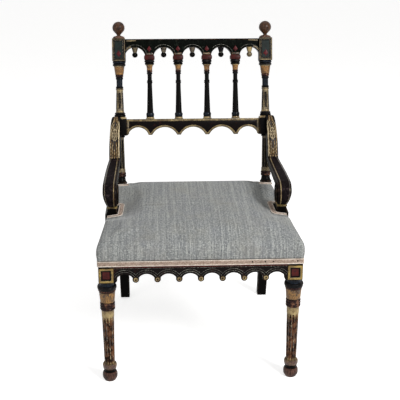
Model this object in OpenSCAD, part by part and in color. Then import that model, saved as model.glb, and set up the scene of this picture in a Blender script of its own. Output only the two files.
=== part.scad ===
// Ebonized and gilded armchair with an arcaded back and a sprung seat, in millimetres.
// X runs across the seat, Y from the front to the back and Z up from the floor.
// Lengths along a back post are measured from where its turning leaves the seat.

/* [Seat frame] */
// Distance between the centres of the front legs
front_span = 518; // [470:1:600]
// Distance between the centres of the back posts
rear_span = 472; // [420:1:520]
// Distance from the front legs to the back feet, centre to centre
foot_depth = 557; // [520:1:620]
// Distance from the front legs to the posts at the height of the seat
post_depth = 512; // [480:1:540]
// Height of the top of the seat rails
rail_top_z = 392; // [380:1:420]
// Height of the underside of the seat rails
rail_bottom_z = 338; // [330:1:350]
// Thickness of the seat rails
rail_t = 24; // [18:1:28]
// Thickness of the tenons of the seat rails
tenon_t = 9; // [6:0.5:12]
// Length of the tenons of the seat rails
tenon_l = 14; // [8:1:18]
// Leg length of the triangular corner blocks
corner_block_leg = 52; // [40:1:70]
// Height of the corner blocks
corner_block_h = 34; // [20:1:44]

/* [Front legs] */
// Side of the square block at the top of a front leg
leg_block = 42; // [36:1:50]
// Height of the underside of the leg block
leg_block_z = 308; // [285:1:315]
// Diameter of the ball foot
foot_ball_d = 43; // [36:1:54]
// Height of the ball foot
foot_ball_h = 28; // [20:1:36]
// Diameter of the ring above the foot
ankle_ring_d = 40; // [34:1:50]
// Diameter of the fluted shaft at its foot
leg_shaft_low_d = 29.5; // [24:0.5:36]
// Diameter of the fluted shaft at its head
leg_shaft_high_d = 33.5; // [28:0.5:40]
// Diameter of the three dark rings
leg_rings_d = 42; // [36:1:48]
// Diameter of the gilt drum at its foot
leg_drum_low_d = 40; // [34:1:46]
// Diameter of the gilt drum at its head
leg_drum_high_d = 46; // [40:1:52]
// Diameter of the collar under the leg block
leg_collar_d = 52.5; // [46:0.5:60]

/* [Back posts] */
// Lean of the posts above the seat, in degrees
rake = 14; // [8:0.5:18]
// Width of a back leg across the seat
rear_leg_w = 34; // [28:1:40]
// Depth of a back leg from front to back at the seat
rear_leg_d = 36; // [30:1:42]
// Side of a back leg at the floor
rear_foot = 30; // [24:1:34]
// Side of the square blocks of the post
post_block = 42; // [38:1:48]
// Diameter of the flared base of the turning
post_base_d = 39; // [34:1:42]
// Diameter of the lower shaft at its foot
low_shaft_d = 27; // [22:1:32]
// Diameter of the lower shaft at its head
low_shaft_high_d = 22; // [18:1:28]
// Length of the lower shaft
low_shaft_l = 113; // [90:1:130]
// Height of the block that takes the arm and the middle rail
arm_block_l = 60; // [56:1:70]
// Diameter of the slotted gilt shaft at its foot
slot_shaft_d = 26; // [22:1:32]
// Diameter of the slotted gilt shaft at its head
slot_shaft_high_d = 21; // [18:1:27]
// Length of the slotted gilt shaft
slot_shaft_l = 70; // [50:1:90]
// Diameter of the slim neck above it
post_neck_d = 19.5; // [16:0.5:24]
// Diameter of the gilt bell at its lip
post_bell_d = 34.5; // [30:0.5:40]
// Height of the panelled block at the top of the post
top_block_l = 72; // [60:1:84]

/* [Finials] */
// Diameter of the ball
finial_d = 39.5; // [32:0.5:46]
// Diameter of the neck under the ball
finial_neck_d = 12; // [9:0.5:16]
// Height of the middle of the ball above the post
finial_rise = 26; // [20:0.5:32]
// Diameter of the peg in the post
finial_peg_d = 8; // [6:0.5:9]

/* [Back rails] */
// Thickness of the middle rail
mid_rail_t = 20; // [16:1:26]
// Height of the middle rail at its cusps
mid_rail_h = 51.5; // [44:0.5:54]
// Height of the middle rail over its arches
mid_rail_waist = 26.5; // [20:0.5:32]
// Width of the cusps of the middle rail
mid_cusp_w = 12; // [8:0.5:20]
// Thickness of the crest rail
crest_t = 26; // [20:1:32]
// Radius of the arches of the crest rail
crest_arch_r = 33; // [28:0.1:36]
// How far the centres of these arches lie below the underside of the crest rail
crest_arch_low = 5.3; // [0:0.1:8]
// Height of the crest rail above the crowns of its arches
crest_waist = 25; // [18:1:30]
// Diameter of the balls that hang under the crest rail
drop_ball_d = 18; // [12:0.2:20]
// Diameter of the gilt bell above each ball
drop_bell_d = 20; // [12:0.2:22]

/* [Colonnettes] */
// Number of colonnettes in the back
colonnettes = 4; // [3:1:5]
// Distance between colonnettes
colonnette_pitch = 92.4; // [84:0.2:96]
// Diameter of the gilt base
colonnette_base_d = 28; // [22:0.5:30]
// Diameter of the shaft at its foot
colonnette_low_d = 21; // [16:0.5:24]
// Diameter of the shaft at its head
colonnette_high_d = 14.5; // [11:0.5:18]
// Side of the square red abacus
abacus = 34; // [28:1:38]
// Height of the abacus
abacus_h = 16; // [10:1:20]

/* [Arcade] */
// Number of arches under the front rail
arches = 8; // [6:1:10]
// Thickness of the arcade board
arcade_t = 12; // [8:1:14]
// Height of the top edge of the arcade board
arcade_top_z = 373; // [362:1:378]
// Height of the crowns of the arches
arcade_crown_z = 333; // [326:1:337]
// Height of the middle of the round drops
arcade_drop_z = 316.5; // [314:0.1:322]
// Diameter of the round drops between the arches
arcade_drop_d = 18; // [14:0.5:22]
// Diameter of the gilt bosses on the drops
boss_d = 13; // [8:0.5:13.5]

/* [Arms] */
// Width of the arm at its middle
arm_w = 41; // [36:0.5:44]
// Thickness of the arm behind the scroll
arm_t = 29; // [24:1:34]
// Radius of the scroll at the front of the arm
scroll_r = 37; // [33:1:40]
// Distance from the front legs to the middle of the scroll
scroll_y = 235; // [215:1:260]
// Height of the middle of the scroll above the seat rails
scroll_rise = 86; // [78:1:98]
// Radius of the round boss on the inner side of the scroll
volute_r = 29; // [22:1:32]
// How far the round boss stands out
volute_proud = 4; // [2:0.5:6]
// How far the arm's middle line lies inside the outer face of the side rail, over the plinth
arm_inset = 9.2; // [5:0.2:12]
// How far the arm's middle line lies outside that of the post
arm_out = 11; // [8:0.5:15]
// Width of the foot of the arm's plinth
plinth_w = 37; // [32:1:42]
// Length of the foot of the arm's plinth
plinth_l = 83; // [70:1:96]
// Width of the gilt collar on the plinth
collar_w = 30; // [26:1:34]
// Height of the gilt collar on the plinth
collar_h = 15; // [10:1:18]

/* [Seat] */
// Height of the middle of the seat above the floor
crown_z = 446; // [440:1:470]
// How far the cover stands out beyond the frame
cover_proud = 4; // [3:0.5:6]
// How far the sides draw in between the corners
draw_in = 2; // [0:0.5:6]
// Width of the braid along the edges
braid_w = 16; // [12:1:20]
// Thickness of the braid
braid_t = 2; // [1:0.2:3]
// Number of springs across and along the seat
spring_rows = 3; // [2:1:3]
// Diameter of a spring at its ends
spring_d = 78; // [60:1:90]
// Diameter of a spring at its waist
spring_waist_d = 50; // [40:1:58]
// Thickness of the spring wire
wire_d = 3.6; // [3:0.2:4.4]
// Number of turns in a spring
spring_turns = 4; // [3:1:5]
// Width of the webbing
web_w = 50; // [40:1:55]
// Thickness of the webbing
web_t = 1.2; // [0.8:0.1:1.6]

/* [Fits] */
// Clearance round tenons, pegs and screws
fit = 0.2; // [0.1:0.05:0.4]
// Clearance between soft parts and the frame
soft_gap = 0.3; // [0.2:0.05:0.5]
// Diameter of the dowels that hold the arms
dowel_d = 12; // [8:0.5:14]
// Depth of a dowel in each piece
dowel_depth = 18; // [10:1:22]
// Diameter of the wood screws
screw_d = 4.5; // [3.5:0.5:5.5]

/* [Hidden] */
$fn = 64;

ebony = "#1b1613";
brown = "#3f2a22";
gold = "#a8823f";
beech = "#b48a5c";
steel = "#77777a";
grey_cloth = "#8f9190";
cream = "#d6c8bb";

// Points round a bead, a cove and the arcs of the carved pieces
arc_steps = 8;
// A cutter stands this far past the face that it opens
over = 1;

// Seat frame places
rail_shoulder = 10;
front_x = front_span / 2;
rear_x = rear_span / 2;
half_block = leg_block / 2;
arcade_set_back = 2;
rail_front_y = arcade_set_back - half_block + arcade_t;
turning_rise = 34;
ref_z = rail_top_z + turning_rise;
ref_y = post_depth;
knee_drop = 92;
knee_z = rail_top_z - knee_drop;
knee_y = ref_y - (ref_z - knee_z) * tan(rake);
square_top_z = ref_z - 12;

// The curved middle line of a back leg, as [y, z], from the turning at 0 down to the floor at 1
function leg_line(s) = [
  (1 - s) * (1 - s) * ref_y + 2 * s * (1 - s) * knee_y + s * s * foot_depth,
  (1 - s) * (1 - s) * ref_z + 2 * s * (1 - s) * knee_z
];

// Where along that line a height is reached
function leg_at(z) = let (a = ref_z - 2 * knee_z, b = 2 * (knee_z - ref_z), c = ref_z - z)
  (-b - sqrt(b * b - 4 * a * c)) / (2 * a);
function leg_y(z) = leg_line(leg_at(z))[0];
rail_mid_z = (rail_top_z + rail_bottom_z) / 2;
rear_y = leg_y(rail_mid_z);
rear_out_x = rear_x + rear_leg_w / 2;
front_out_x = front_x + half_block;

// The outer face of a side rail
function side_x(y) = front_out_x + (rear_out_x - front_out_x) * y / rear_y;
rear_rail_front_y = rear_y - rail_t / 2 + 2;
rear_rail_back_y = rear_rail_front_y + rail_t;

// Stations along a back post, measured from its reference point
base_l = 18;
base_rings_l = 15;
ring_l = 6;
arm_block_t = base_l + base_rings_l + low_shaft_l + ring_l;
arm_block_top_t = arm_block_t + arm_block_l;
upper_ring_l = 16;
slot_t = arm_block_top_t + upper_ring_l;
waist_ring_l = 12;
neck_l = 22;
neck_rings_l = 16;
bell_l = 27;
cap_mould_l = 15;
top_block_t = slot_t + slot_shaft_l + waist_ring_l + neck_l + neck_rings_l + bell_l + cap_mould_l;
top_block_top_t = top_block_t + top_block_l;
dome_l = 9;
finial_peg_l = 18;
finial_t = top_block_top_t + dome_l;

// Back rails
mid_top_t = arm_block_top_t - 7.5;
mid_low_t = mid_top_t - mid_rail_h;
crest_top_t = top_block_top_t - 2;
crest_crown_t = crest_top_t - crest_waist;
crest_centre_t = crest_crown_t - crest_arch_r;
crest_spring_t = crest_centre_t + crest_arch_low;
abacus_top_t = crest_spring_t + 2;
colonnette_l = abacus_top_t - abacus_h - mid_top_t;
post_inner_x = rear_x - post_block / 2;
first_colonnette_x = -colonnette_pitch * (colonnettes - 1) / 2;
last_colonnette_x = -first_colonnette_x;
rail_tenon_l = 16;
rail_tenon_t = 9;
peg_d = 8;
peg_l = 12;

// Arcade
arcade_half = front_x - half_block;
arch_pitch = 2 * arcade_half / arches;
arch_r = 25.6;
arch_centre_z = arcade_crown_z - arch_r;
arcade_shoulder_z = arcade_drop_z;
boss_h = 3;
boss_peg_d = 4;
boss_peg_l = 7;
drop_peg_d = 5;
drop_peg_l = 11;

// Arm places
scroll_z = rail_top_z + scroll_rise;
collar_top_z = scroll_z - 28;
plinth_y = scroll_y + 41;
collar_l = 64;
collar_y = scroll_y + 26;
arm_leaf_top_t = arm_block_top_t + 1;
arm_x = side_x(plinth_y) - arm_inset;
arm_post_x = rear_x + arm_out;
arm_draw_in = arm_x - arm_post_x;
plinth_head_l = collar_l - 4;

// Seat
web_z = rail_bottom_z - soft_gap - web_t;
hessian_t = 1.2;
spring_seat_z = rail_bottom_z + soft_gap + wire_d / 2;
spring_head_z = rail_top_z + 17;
spring_rise = spring_head_z - spring_seat_z;
hessian_z = spring_head_z + wire_d / 2 + soft_gap;
pocket_z = hessian_z + hessian_t + soft_gap;
dust_t = 1;
dust_z = web_z - web_t - soft_gap - dust_t - 0.4;
cushion_low_z = arcade_top_z + soft_gap;
cover_bulge = 1.2;
cushion_front_y = -half_block - cover_proud;
cushion_back_y = rear_rail_back_y + cover_proud;
inner_front_y = rail_front_y + rail_t;
inner_back_y = rear_rail_front_y;

// The whole chair is centred on its footprint
front_most = min(cushion_front_y - cover_bulge, -leg_collar_d / 2);
finial_mid_y = ref_y + sin(rake) * (finial_t + finial_rise);
rear_most = finial_mid_y + finial_d / 2;
centre_y = (front_most + rear_most) / 2;

module in_place() {
  translate([0, -centre_y, 0]) children();
}

// Puts its children on the axis of the left back post, seen from the chair's middle line
module on_rake() {
  translate([0, ref_y, ref_z]) rotate([-rake, 0, 0]) children();
}

module each_side() {
  children();
  mirror([1, 0, 0]) children();
}

module right_side(right) {
  mirror([right ? 1 : 0, 0, 0]) children();
}

// A turned piece is a stack of steps from the bottom up: [shape, height, radius, other radius]
function rounded(z, h, r, peak) = [
  for (i = [0 : arc_steps]) let (a = 180 * i / arc_steps)
    [r + (peak - r) * sin(a), z + h * (1 - cos(a)) / 2]
];
function flared(z, h, low, high) = [
  for (i = [0 : arc_steps]) let (a = 90 * i / arc_steps)
    [low + (high - low) * (1 - cos(a)), z + h * sin(a)]
];
function ball_h(r, neck) = r + sqrt(r * r - neck * neck);
function ball(z, neck, r) = let (end = acos(neck / r)) [
  for (i = [0 : arc_steps]) let (a = -90 + (90 + end) * i / arc_steps)
    [i == 0 ? 0 : r * cos(a), z + r * (1 + sin(a))]
];
function step_points(s, z) =
  s[0] == "ball" ? ball(z, s[2], s[3]) :
  s[0] == "round" ? rounded(z, s[1], s[2], s[3]) :
  s[0] == "flare" ? flared(z, s[1], s[2], s[3]) :
  [[s[2], z], [s[3], z + s[1]]];
function stack_height(steps, count) = count == 0 ? 0 : stack_height(steps, count - 1) + steps[count - 1][1];
function stack_points(steps, z) = [
  for (k = [0 : len(steps) - 1]) each step_points(steps[k], z + stack_height(steps, k))
];
function without_repeats(p) = [
  for (i = [0 : len(p) - 1]) if (i == 0 || norm(p[i] - p[i - 1]) > 0.01) p[i]
];

module turned(steps, z = 0) {
  top = z + stack_height(steps, len(steps));
  rotate_extrude() polygon(without_repeats(concat([[0, z]], stack_points(steps, z), [[0, top]])));
}

// Front legs
function front_leg_steps() = let (
  ball = foot_ball_d / 2,
  neck = foot_ball_d / 2 - 6.5,
  ankle = ankle_ring_d / 2,
  low = leg_shaft_low_d / 2,
  high = leg_shaft_high_d / 2,
  rings = leg_rings_d / 2,
  drum = leg_drum_high_d / 2,
  collar = leg_collar_d / 2,
  above_shaft = 22 + 23 + 34 + 18 + 11,
  ankle_h = 17,
  neck_h = 10,
  shaft = leg_block_z - above_shaft - foot_ball_h - neck_h - ankle_h
) [
  ["round", foot_ball_h, ball - 5, ball],
  ["round", neck_h, neck + 2.5, neck],
  ["round", ankle_h, neck + 2, ankle],
  ["line", shaft, low, high],
  ["line", 22, high + 1, high + 1],
  ["round", 7.6, rings - 2, rings],
  ["round", 7.7, rings - 2, rings],
  ["round", 7.7, rings - 2, rings],
  ["line", 34, leg_drum_low_d / 2, drum],
  ["round", 18, drum, collar],
  ["round", 11, drum, drum - 4]
];

module front_leg(right = false) {
  color(ebony) in_place() right_side(right) translate([-front_x, 0, 0]) difference() {
    union() {
      turned(front_leg_steps());
      translate([-half_block, -half_block, leg_block_z])
        cube([leg_block, leg_block, rail_top_z - leg_block_z]);
    }
    front_tenon(fit);
    side_tenon_front(fit);
  }
}

// Tenons are placed from the middle of the left front leg, whose inner side faces +X
module front_tenon(grow = 0) {
  y = rail_front_y + (rail_t - tenon_t) / 2;
  translate([half_block - tenon_l - grow, y - grow, rail_bottom_z + rail_shoulder - grow])
    cube([
      tenon_l + grow + over, tenon_t + 2 * grow,
      rail_top_z - rail_bottom_z - 2 * rail_shoulder + 2 * grow
    ]);
}

module side_tenon_front(grow = 0) {
  reach = half_block - (rail_front_y + (rail_t + tenon_t) / 2) - 1.5;
  x = -half_block + (rail_t - tenon_t) / 2;
  translate([x - grow, half_block - reach - grow, rail_bottom_z + rail_shoulder - grow])
    cube([
      tenon_t + 2 * grow, reach + grow + over,
      rail_top_z - rail_bottom_z - 2 * rail_shoulder + 2 * grow
    ]);
}

// Back posts
function half_depth(s) = (rear_leg_d + (rear_foot - rear_leg_d) * s) / 2;
leg_bend_steps = 14;
function leg_side(grow) = let (start = leg_at(square_top_z)) concat(
  [for (i = [0 : leg_bend_steps]) let (s = start + (1 - start) * i / leg_bend_steps, p = leg_line(s))
    [p[0] - half_depth(s) - grow, p[1]]],
  [for (i = [leg_bend_steps : -1 : 0]) let (s = start + (1 - start) * i / leg_bend_steps, p = leg_line(s))
    [p[0] + half_depth(s) + grow, p[1]]]
);

// Stands a [y, z] outline across the chair
module across(width) {
  translate([-width / 2, 0, 0]) rotate([90, 0, 90]) linear_extrude(height = width) children();
}

function post_low_steps() = [
  ["line", 20, post_base_d / 2 - 3, post_base_d / 2 - 3],
  ["round", base_l, post_base_d / 2 - 4, post_base_d / 2],
  ["round", base_rings_l / 2, low_shaft_d / 2 + 1, low_shaft_d / 2 + 3],
  ["round", base_rings_l / 2, low_shaft_d / 2 + 1, low_shaft_d / 2 + 3],
  ["line", low_shaft_l, low_shaft_d / 2, low_shaft_high_d / 2],
  ["round", ring_l, low_shaft_high_d / 2 + 1, low_shaft_high_d / 2 + 4],
  ["line", 1, low_shaft_high_d / 2, low_shaft_high_d / 2]
];

function post_high_steps() = [
  ["line", 1, slot_shaft_d / 2 + 2, slot_shaft_d / 2 + 2],
  ["round", upper_ring_l / 2, slot_shaft_d / 2 + 2, slot_shaft_d / 2 + 4.5],
  ["round", upper_ring_l / 2, slot_shaft_d / 2, slot_shaft_d / 2 + 3],
  ["line", slot_shaft_l, slot_shaft_d / 2, slot_shaft_high_d / 2],
  ["round", waist_ring_l, slot_shaft_high_d / 2, slot_shaft_high_d / 2 + 1.5],
  ["line", neck_l, post_neck_d / 2, post_neck_d / 2],
  ["round", neck_rings_l / 2, post_neck_d / 2, post_neck_d / 2 + 2],
  ["round", neck_rings_l / 2, post_neck_d / 2 + 1, post_neck_d / 2 + 3],
  ["flare", bell_l, post_bell_d / 2 - 4, post_bell_d / 2],
  ["round", cap_mould_l / 2, post_bell_d / 2, post_block / 2],
  ["round", cap_mould_l / 2, post_bell_d / 2 + 1, post_block / 2 - 0.5],
  ["line", 1, post_bell_d / 2, post_bell_d / 2]
];

function dome_steps() = [
  ["line", 1, post_block / 2 - 1, post_block / 2 - 1],
  ["flare", dome_l, post_block / 2 - 1, finial_neck_d / 2 + 3]
];

module post_cube(t, length, chamfer = 1.5) {
  half = post_block / 2;
  translate([0, 0, t]) linear_extrude(height = length) polygon([
    [-half, -half + chamfer], [-half + chamfer, -half], [half - chamfer, -half], [half, -half + chamfer],
    [half, half - chamfer], [half - chamfer, half], [-half + chamfer, half], [-half, half - chamfer]
  ]);
}

module rear_post(right = false) {
  color(ebony) in_place() right_side(right) difference() {
    translate([-rear_x, 0, 0]) union() {
      intersection() {
        across(rear_leg_w + 2) polygon(leg_side(0));
        rotate([90, 0, 0]) translate([0, 0, -2 * foot_depth]) linear_extrude(height = 2 * foot_depth)
          polygon([
            [-rear_foot / 2, -over], [rear_foot / 2, -over], [rear_leg_w / 2, knee_z],
            [rear_leg_w / 2, ref_z], [-rear_leg_w / 2, ref_z], [-rear_leg_w / 2, knee_z]
          ]);
      }
      on_rake() {
        turned(post_low_steps(), -20);
        post_cube(arm_block_t, arm_block_l);
        turned(post_high_steps(), arm_block_top_t - 1);
        post_cube(top_block_t, top_block_l);
        turned(dome_steps(), top_block_top_t - 1);
      }
    }
    translate([-rear_x, 0, 0]) on_rake() translate([0, 0, finial_t - finial_peg_l - fit])
      cylinder(d = finial_peg_d + 2 * fit, h = finial_peg_l + fit + over);
    side_tenon_rear(fit);
    rear_tenon(fit);
    on_rake() mid_tenon(fit);
    on_rake() crest_tenon(fit);
    arm_dowel(fit);
  }
}

// The left side rail's tenon in the back post
module side_tenon_rear(grow = 0) {
  x = -rear_out_x + (rail_t - tenon_t) / 2;
  y = rear_y - rear_leg_d / 2;
  translate([x - grow, y - 6, rail_bottom_z + rail_shoulder - grow])
    cube([
      tenon_t + 2 * grow, tenon_l + 6 + grow,
      rail_top_z - rail_bottom_z - 2 * rail_shoulder + 2 * grow
    ]);
}

// The back rail's tenon in the left post
module rear_tenon(grow = 0) {
  reach = rear_leg_w - rail_t / 2 - tenon_t / 2 - 2;
  y = rear_rail_front_y + (rail_t - tenon_t) / 2;
  translate([-rear_x + rear_leg_w / 2 - reach - grow, y - grow, rail_bottom_z + rail_shoulder - grow])
    cube([
      reach + grow + over, tenon_t + 2 * grow,
      rail_top_z - rail_bottom_z - 2 * rail_shoulder + 2 * grow
    ]);
}

// The tenons of the two back rails, in the rake's own frame
module mid_tenon(grow = 0) {
  tall = mid_rail_waist - 8;
  translate([-post_inner_x - rail_tenon_l - grow, -rail_tenon_t / 2 - grow, mid_top_t - tall - 4 - grow])
    cube([rail_tenon_l + grow + over, rail_tenon_t + 2 * grow, tall + 2 * grow]);
}

module crest_tenon(grow = 0) {
  tall = 36;
  translate([-post_inner_x - rail_tenon_l - grow, -rail_tenon_t / 2 - grow, crest_top_t - tall - 8 - grow])
    cube([rail_tenon_l + grow + over, rail_tenon_t + 2 * grow, tall + 2 * grow]);
}

// Finials: a drop-shaped ball on a slim neck
module finial(right = false) {
  ball = finial_d / 2;
  neck = finial_neck_d / 2;
  neck_h = 4;
  start = -50;
  color(brown) in_place() right_side(right) translate([-rear_x, 0, 0]) on_rake() translate([0, 0, finial_t])
    rotate_extrude() polygon(concat(
      [
        [0, -finial_peg_l], [finial_peg_d / 2, -finial_peg_l], [finial_peg_d / 2, 0],
        [neck + 1, 0], [neck, neck_h]
      ],
      [for (i = [0 : 2 * arc_steps]) let (a = start + (90 - start) * i / (2 * arc_steps))
        [i == 2 * arc_steps ? 0 : ball * cos(a), finial_rise + ball * sin(a)]]
    ));
}

// Crest rail, with its arches over the colonnettes
module crest_rail() {
  color(ebony) in_place() on_rake() difference() {
    union() {
      translate([0, crest_t / 2, 0]) rotate([90, 0, 0]) linear_extrude(height = crest_t) difference() {
        translate([-post_inner_x, crest_spring_t]) square([2 * post_inner_x, crest_top_t - crest_spring_t]);
        for (k = [0 : colonnettes])
          translate([first_colonnette_x + (k - 0.5) * colonnette_pitch, crest_centre_t])
            circle(r = crest_arch_r);
      }
      each_side() crest_tenon();
    }
    for (k = [0 : colonnettes])
      translate([first_colonnette_x + (k - 0.5) * colonnette_pitch, 0, crest_crown_t - over])
        cylinder(d = drop_peg_d + 2 * fit, h = drop_peg_l + fit + over);
    for (k = [0 : colonnettes - 1])
      translate([first_colonnette_x + k * colonnette_pitch, 0, crest_spring_t]) {
        cylinder(d = peg_d + 2 * fit, h = abacus_top_t - crest_spring_t + peg_l + fit);
        translate([-abacus / 2 - fit, -abacus / 2 - fit, -over])
          cube([abacus + 2 * fit, abacus + 2 * fit, abacus_top_t - crest_spring_t + over]);
      }
  }
}

// A gilt bell and a black ball on one peg, under each crown
module crest_drops() {
  fall = crest_crown_t - crest_spring_t + drop_ball_d / 2 - 3.5;
  ball_r = drop_ball_d / 2;
  neck = drop_ball_d / 4;
  bell_h = fall - ball_h(ball_r, neck);
  flat = 2 * (crest_arch_r - sqrt(crest_arch_r * crest_arch_r - drop_bell_d * drop_bell_d / 4));
  color(gold) in_place() on_rake()
    for (k = [0 : colonnettes])
      translate([first_colonnette_x + (k - 0.5) * colonnette_pitch, 0, crest_crown_t]) difference() {
        turned([
          ["ball", ball_h(ball_r, neck), neck, ball_r],
          ["flare", bell_h - flat, neck, drop_bell_d / 2],
          ["line", flat, drop_peg_d / 2 + 2, drop_peg_d / 2 + 2],
          ["line", drop_peg_l, drop_peg_d / 2, drop_peg_d / 2]
        ], -fall);
        translate([0, crest_t / 2, crest_centre_t - crest_crown_t]) rotate([90, 0, 0])
          linear_extrude(height = crest_t) difference() {
            translate([-drop_bell_d, crest_arch_r - 6]) square([2 * drop_bell_d, 6]);
            circle(r = crest_arch_r);
            translate([-drop_peg_d, 0]) square([2 * drop_peg_d, 2 * crest_arch_r]);
          }
      }
}

// Colonnettes
function colonnette_steps() = let (
  base = colonnette_base_d / 2,
  low = colonnette_low_d / 2,
  high = colonnette_high_d / 2,
  bell = abacus / 2 - 5,
  shaft = colonnette_l - 8 - 12 - 10 - 19 - 13 - 17 - 15
) [
  ["line", peg_l, peg_d / 2, peg_d / 2],
  ["round", 8, base - 3, base],
  ["round", 12, low + 0.5, low + 2],
  ["line", shaft, low, high],
  ["round", 10, high, high + 2],
  ["line", 19, high - 0.5, high - 0.5],
  ["round", 6.5, high, high + 2],
  ["round", 6.5, high, high + 2],
  ["flare", 17, high + 1.5, bell],
  ["round", 7.5, bell, bell + 3.5],
  ["round", 7.5, bell + 1, bell + 4.5]
];

module colonnette(k) {
  color(ebony) in_place() on_rake() translate([first_colonnette_x + k * colonnette_pitch, 0, mid_top_t]) {
    turned(colonnette_steps(), -peg_l);
    translate([0, 0, colonnette_l]) {
      translate([-abacus / 2, -abacus / 2, 0]) cube([abacus, abacus, abacus_h]);
      translate([0, 0, abacus_h - over]) cylinder(d = peg_d, h = peg_l + over);
    }
  }
}

// Middle rail: an arch between each pair of cusps, whose half span and centre are given
mid_rise = mid_rail_h - mid_rail_waist;
module mid_arch(x, half) {
  r = (half * half + mid_rise * mid_rise) / (2 * mid_rise);
  translate([x, mid_low_t + mid_rise - r]) circle(r = r);
}

module mid_rail() {
  end_x = post_inner_x - mid_cusp_w / 4;
  outer_low = last_colonnette_x + mid_cusp_w / 2;
  inner_half = (colonnette_pitch - mid_cusp_w) / 2;
  color(ebony) in_place() on_rake() difference() {
    union() {
      translate([0, mid_rail_t / 2, 0]) rotate([90, 0, 0]) linear_extrude(height = mid_rail_t) difference() {
        translate([-post_inner_x, mid_low_t]) square([2 * post_inner_x, mid_rail_h]);
        for (k = [0 : colonnettes - 2])
          mid_arch(first_colonnette_x + (k + 0.5) * colonnette_pitch, inner_half);
        for (side = [-1, 1])
          mid_arch(side * (end_x + outer_low) / 2, (end_x - outer_low) / 2);
      }
      each_side() mid_tenon();
    }
    for (k = [0 : colonnettes - 1])
      translate([first_colonnette_x + k * colonnette_pitch, 0, mid_top_t - peg_l - fit])
        cylinder(d = peg_d + 2 * fit, h = peg_l + fit + over);
  }
}

// Front rail, behind and above the arcade
module front_rail() {
  color(beech) in_place() difference() {
    union() {
      translate([-arcade_half, rail_front_y, rail_bottom_z])
        cube([2 * arcade_half, rail_t, rail_top_z - rail_bottom_z]);
      each_side() translate([-front_x, 0, 0]) front_tenon();
    }
    arcade_screw_places() screw(fit);
    corner_screws_all(fit);
  }
}

// Arcade board with its row of arches and round drops
module front_arcade() {
  front = rail_front_y - arcade_t;
  color(ebony) in_place() difference() {
    translate([0, rail_front_y, 0]) rotate([90, 0, 0]) linear_extrude(height = arcade_t) intersection() {
      translate([-arcade_half, 0]) square([2 * arcade_half, arcade_top_z]);
      union() {
        difference() {
          translate([-arcade_half, arcade_shoulder_z])
            square([2 * arcade_half, arcade_top_z - arcade_shoulder_z]);
          for (k = [0 : arches - 1])
            translate([-arcade_half + (k + 0.5) * arch_pitch, arch_centre_z]) circle(r = arch_r);
        }
        for (k = [0 : arches])
          translate([-arcade_half + k * arch_pitch, arcade_drop_z]) circle(d = arcade_drop_d);
      }
    }
    for (k = [1 : arches - 1])
      translate([-arcade_half + k * arch_pitch, front - over, arcade_drop_z]) rotate([-90, 0, 0])
        cylinder(d = boss_peg_d + 2 * fit, h = boss_peg_l + fit + over);
    arcade_screw_places() screw(fit);
  }
}

module arcade_bosses() {
  front = rail_front_y - arcade_t;
  color(gold) in_place()
    for (k = [1 : arches - 1])
      translate([-arcade_half + k * arch_pitch, front, arcade_drop_z]) rotate([-90, 0, 0])
        turned([
          ["flare", boss_h * 0.6, 2, boss_d / 2],
          ["line", boss_h * 0.4, boss_d / 2, boss_d / 2],
          ["line", boss_peg_l, boss_peg_d / 2, boss_peg_d / 2]
        ], -boss_h);
}

// A countersunk wood screw along -Z, its head flush at 0
screw_l = 30;
head_d = 2 * screw_d;
module screw(grow = 0, length = screw_l) {
  translate([0, 0, -length - grow]) cylinder(d = screw_d + 2 * grow, h = length + grow);
  translate([0, 0, -head_d / 4])
    cylinder(d1 = screw_d + 2 * grow, d2 = head_d + 2 * grow, h = head_d / 4);
  if (grow > 0) cylinder(d = head_d + 2 * grow, h = over);
}

// The arcade is screwed from behind the rail
module arcade_screw_places() {
  z = (rail_bottom_z + arcade_top_z) / 2;
  for (x = [-0.75, -0.25, 0.25, 0.75])
    translate([x * arcade_half, rail_front_y + rail_t - 2, z]) rotate([-90, 0, 0]) children();
}

module arcade_screws() {
  color(steel) in_place() arcade_screw_places() screw();
}

// Side rails, flush with the legs' outer faces
module side_rail(right = false) {
  back = rear_y + rear_leg_d;
  color(beech) in_place() right_side(right) difference() {
    union() {
      difference() {
        translate([0, 0, rail_bottom_z]) linear_extrude(height = rail_top_z - rail_bottom_z) polygon([
          [-side_x(half_block), half_block], [-side_x(back), back],
          [-side_x(back) + rail_t, back], [-side_x(half_block) + rail_t, half_block]
        ]);
        across(2 * front_span) polygon(leg_side(0));
        translate([-front_span, rear_y, 0]) cube([2 * front_span, foot_depth, 2 * rail_top_z]);
      }
      translate([-front_x, 0, 0]) side_tenon_front();
      intersection() {
        side_tenon_rear();
        translate([-front_span, rear_y - rear_leg_d, 0]) cube([2 * front_span, foot_depth, 2 * rail_top_z]);
      }
    }
    plinth_screw_places() screw(fit, plinth_screw_l);
    corner_screws_all(fit);
  }
}

module rear_rail() {
  half = rear_x - rear_leg_w / 2;
  color(beech) in_place() difference() {
    union() {
      translate([-half, rear_rail_front_y, rail_bottom_z])
        cube([2 * half, rail_t, rail_top_z - rail_bottom_z]);
      each_side() rear_tenon();
    }
    corner_screws_all(fit);
  }
}

// Corner blocks: a triangle glued between two rails, held by a screw into each
corner_z = rail_mid_z - corner_block_h / 2;
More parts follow.
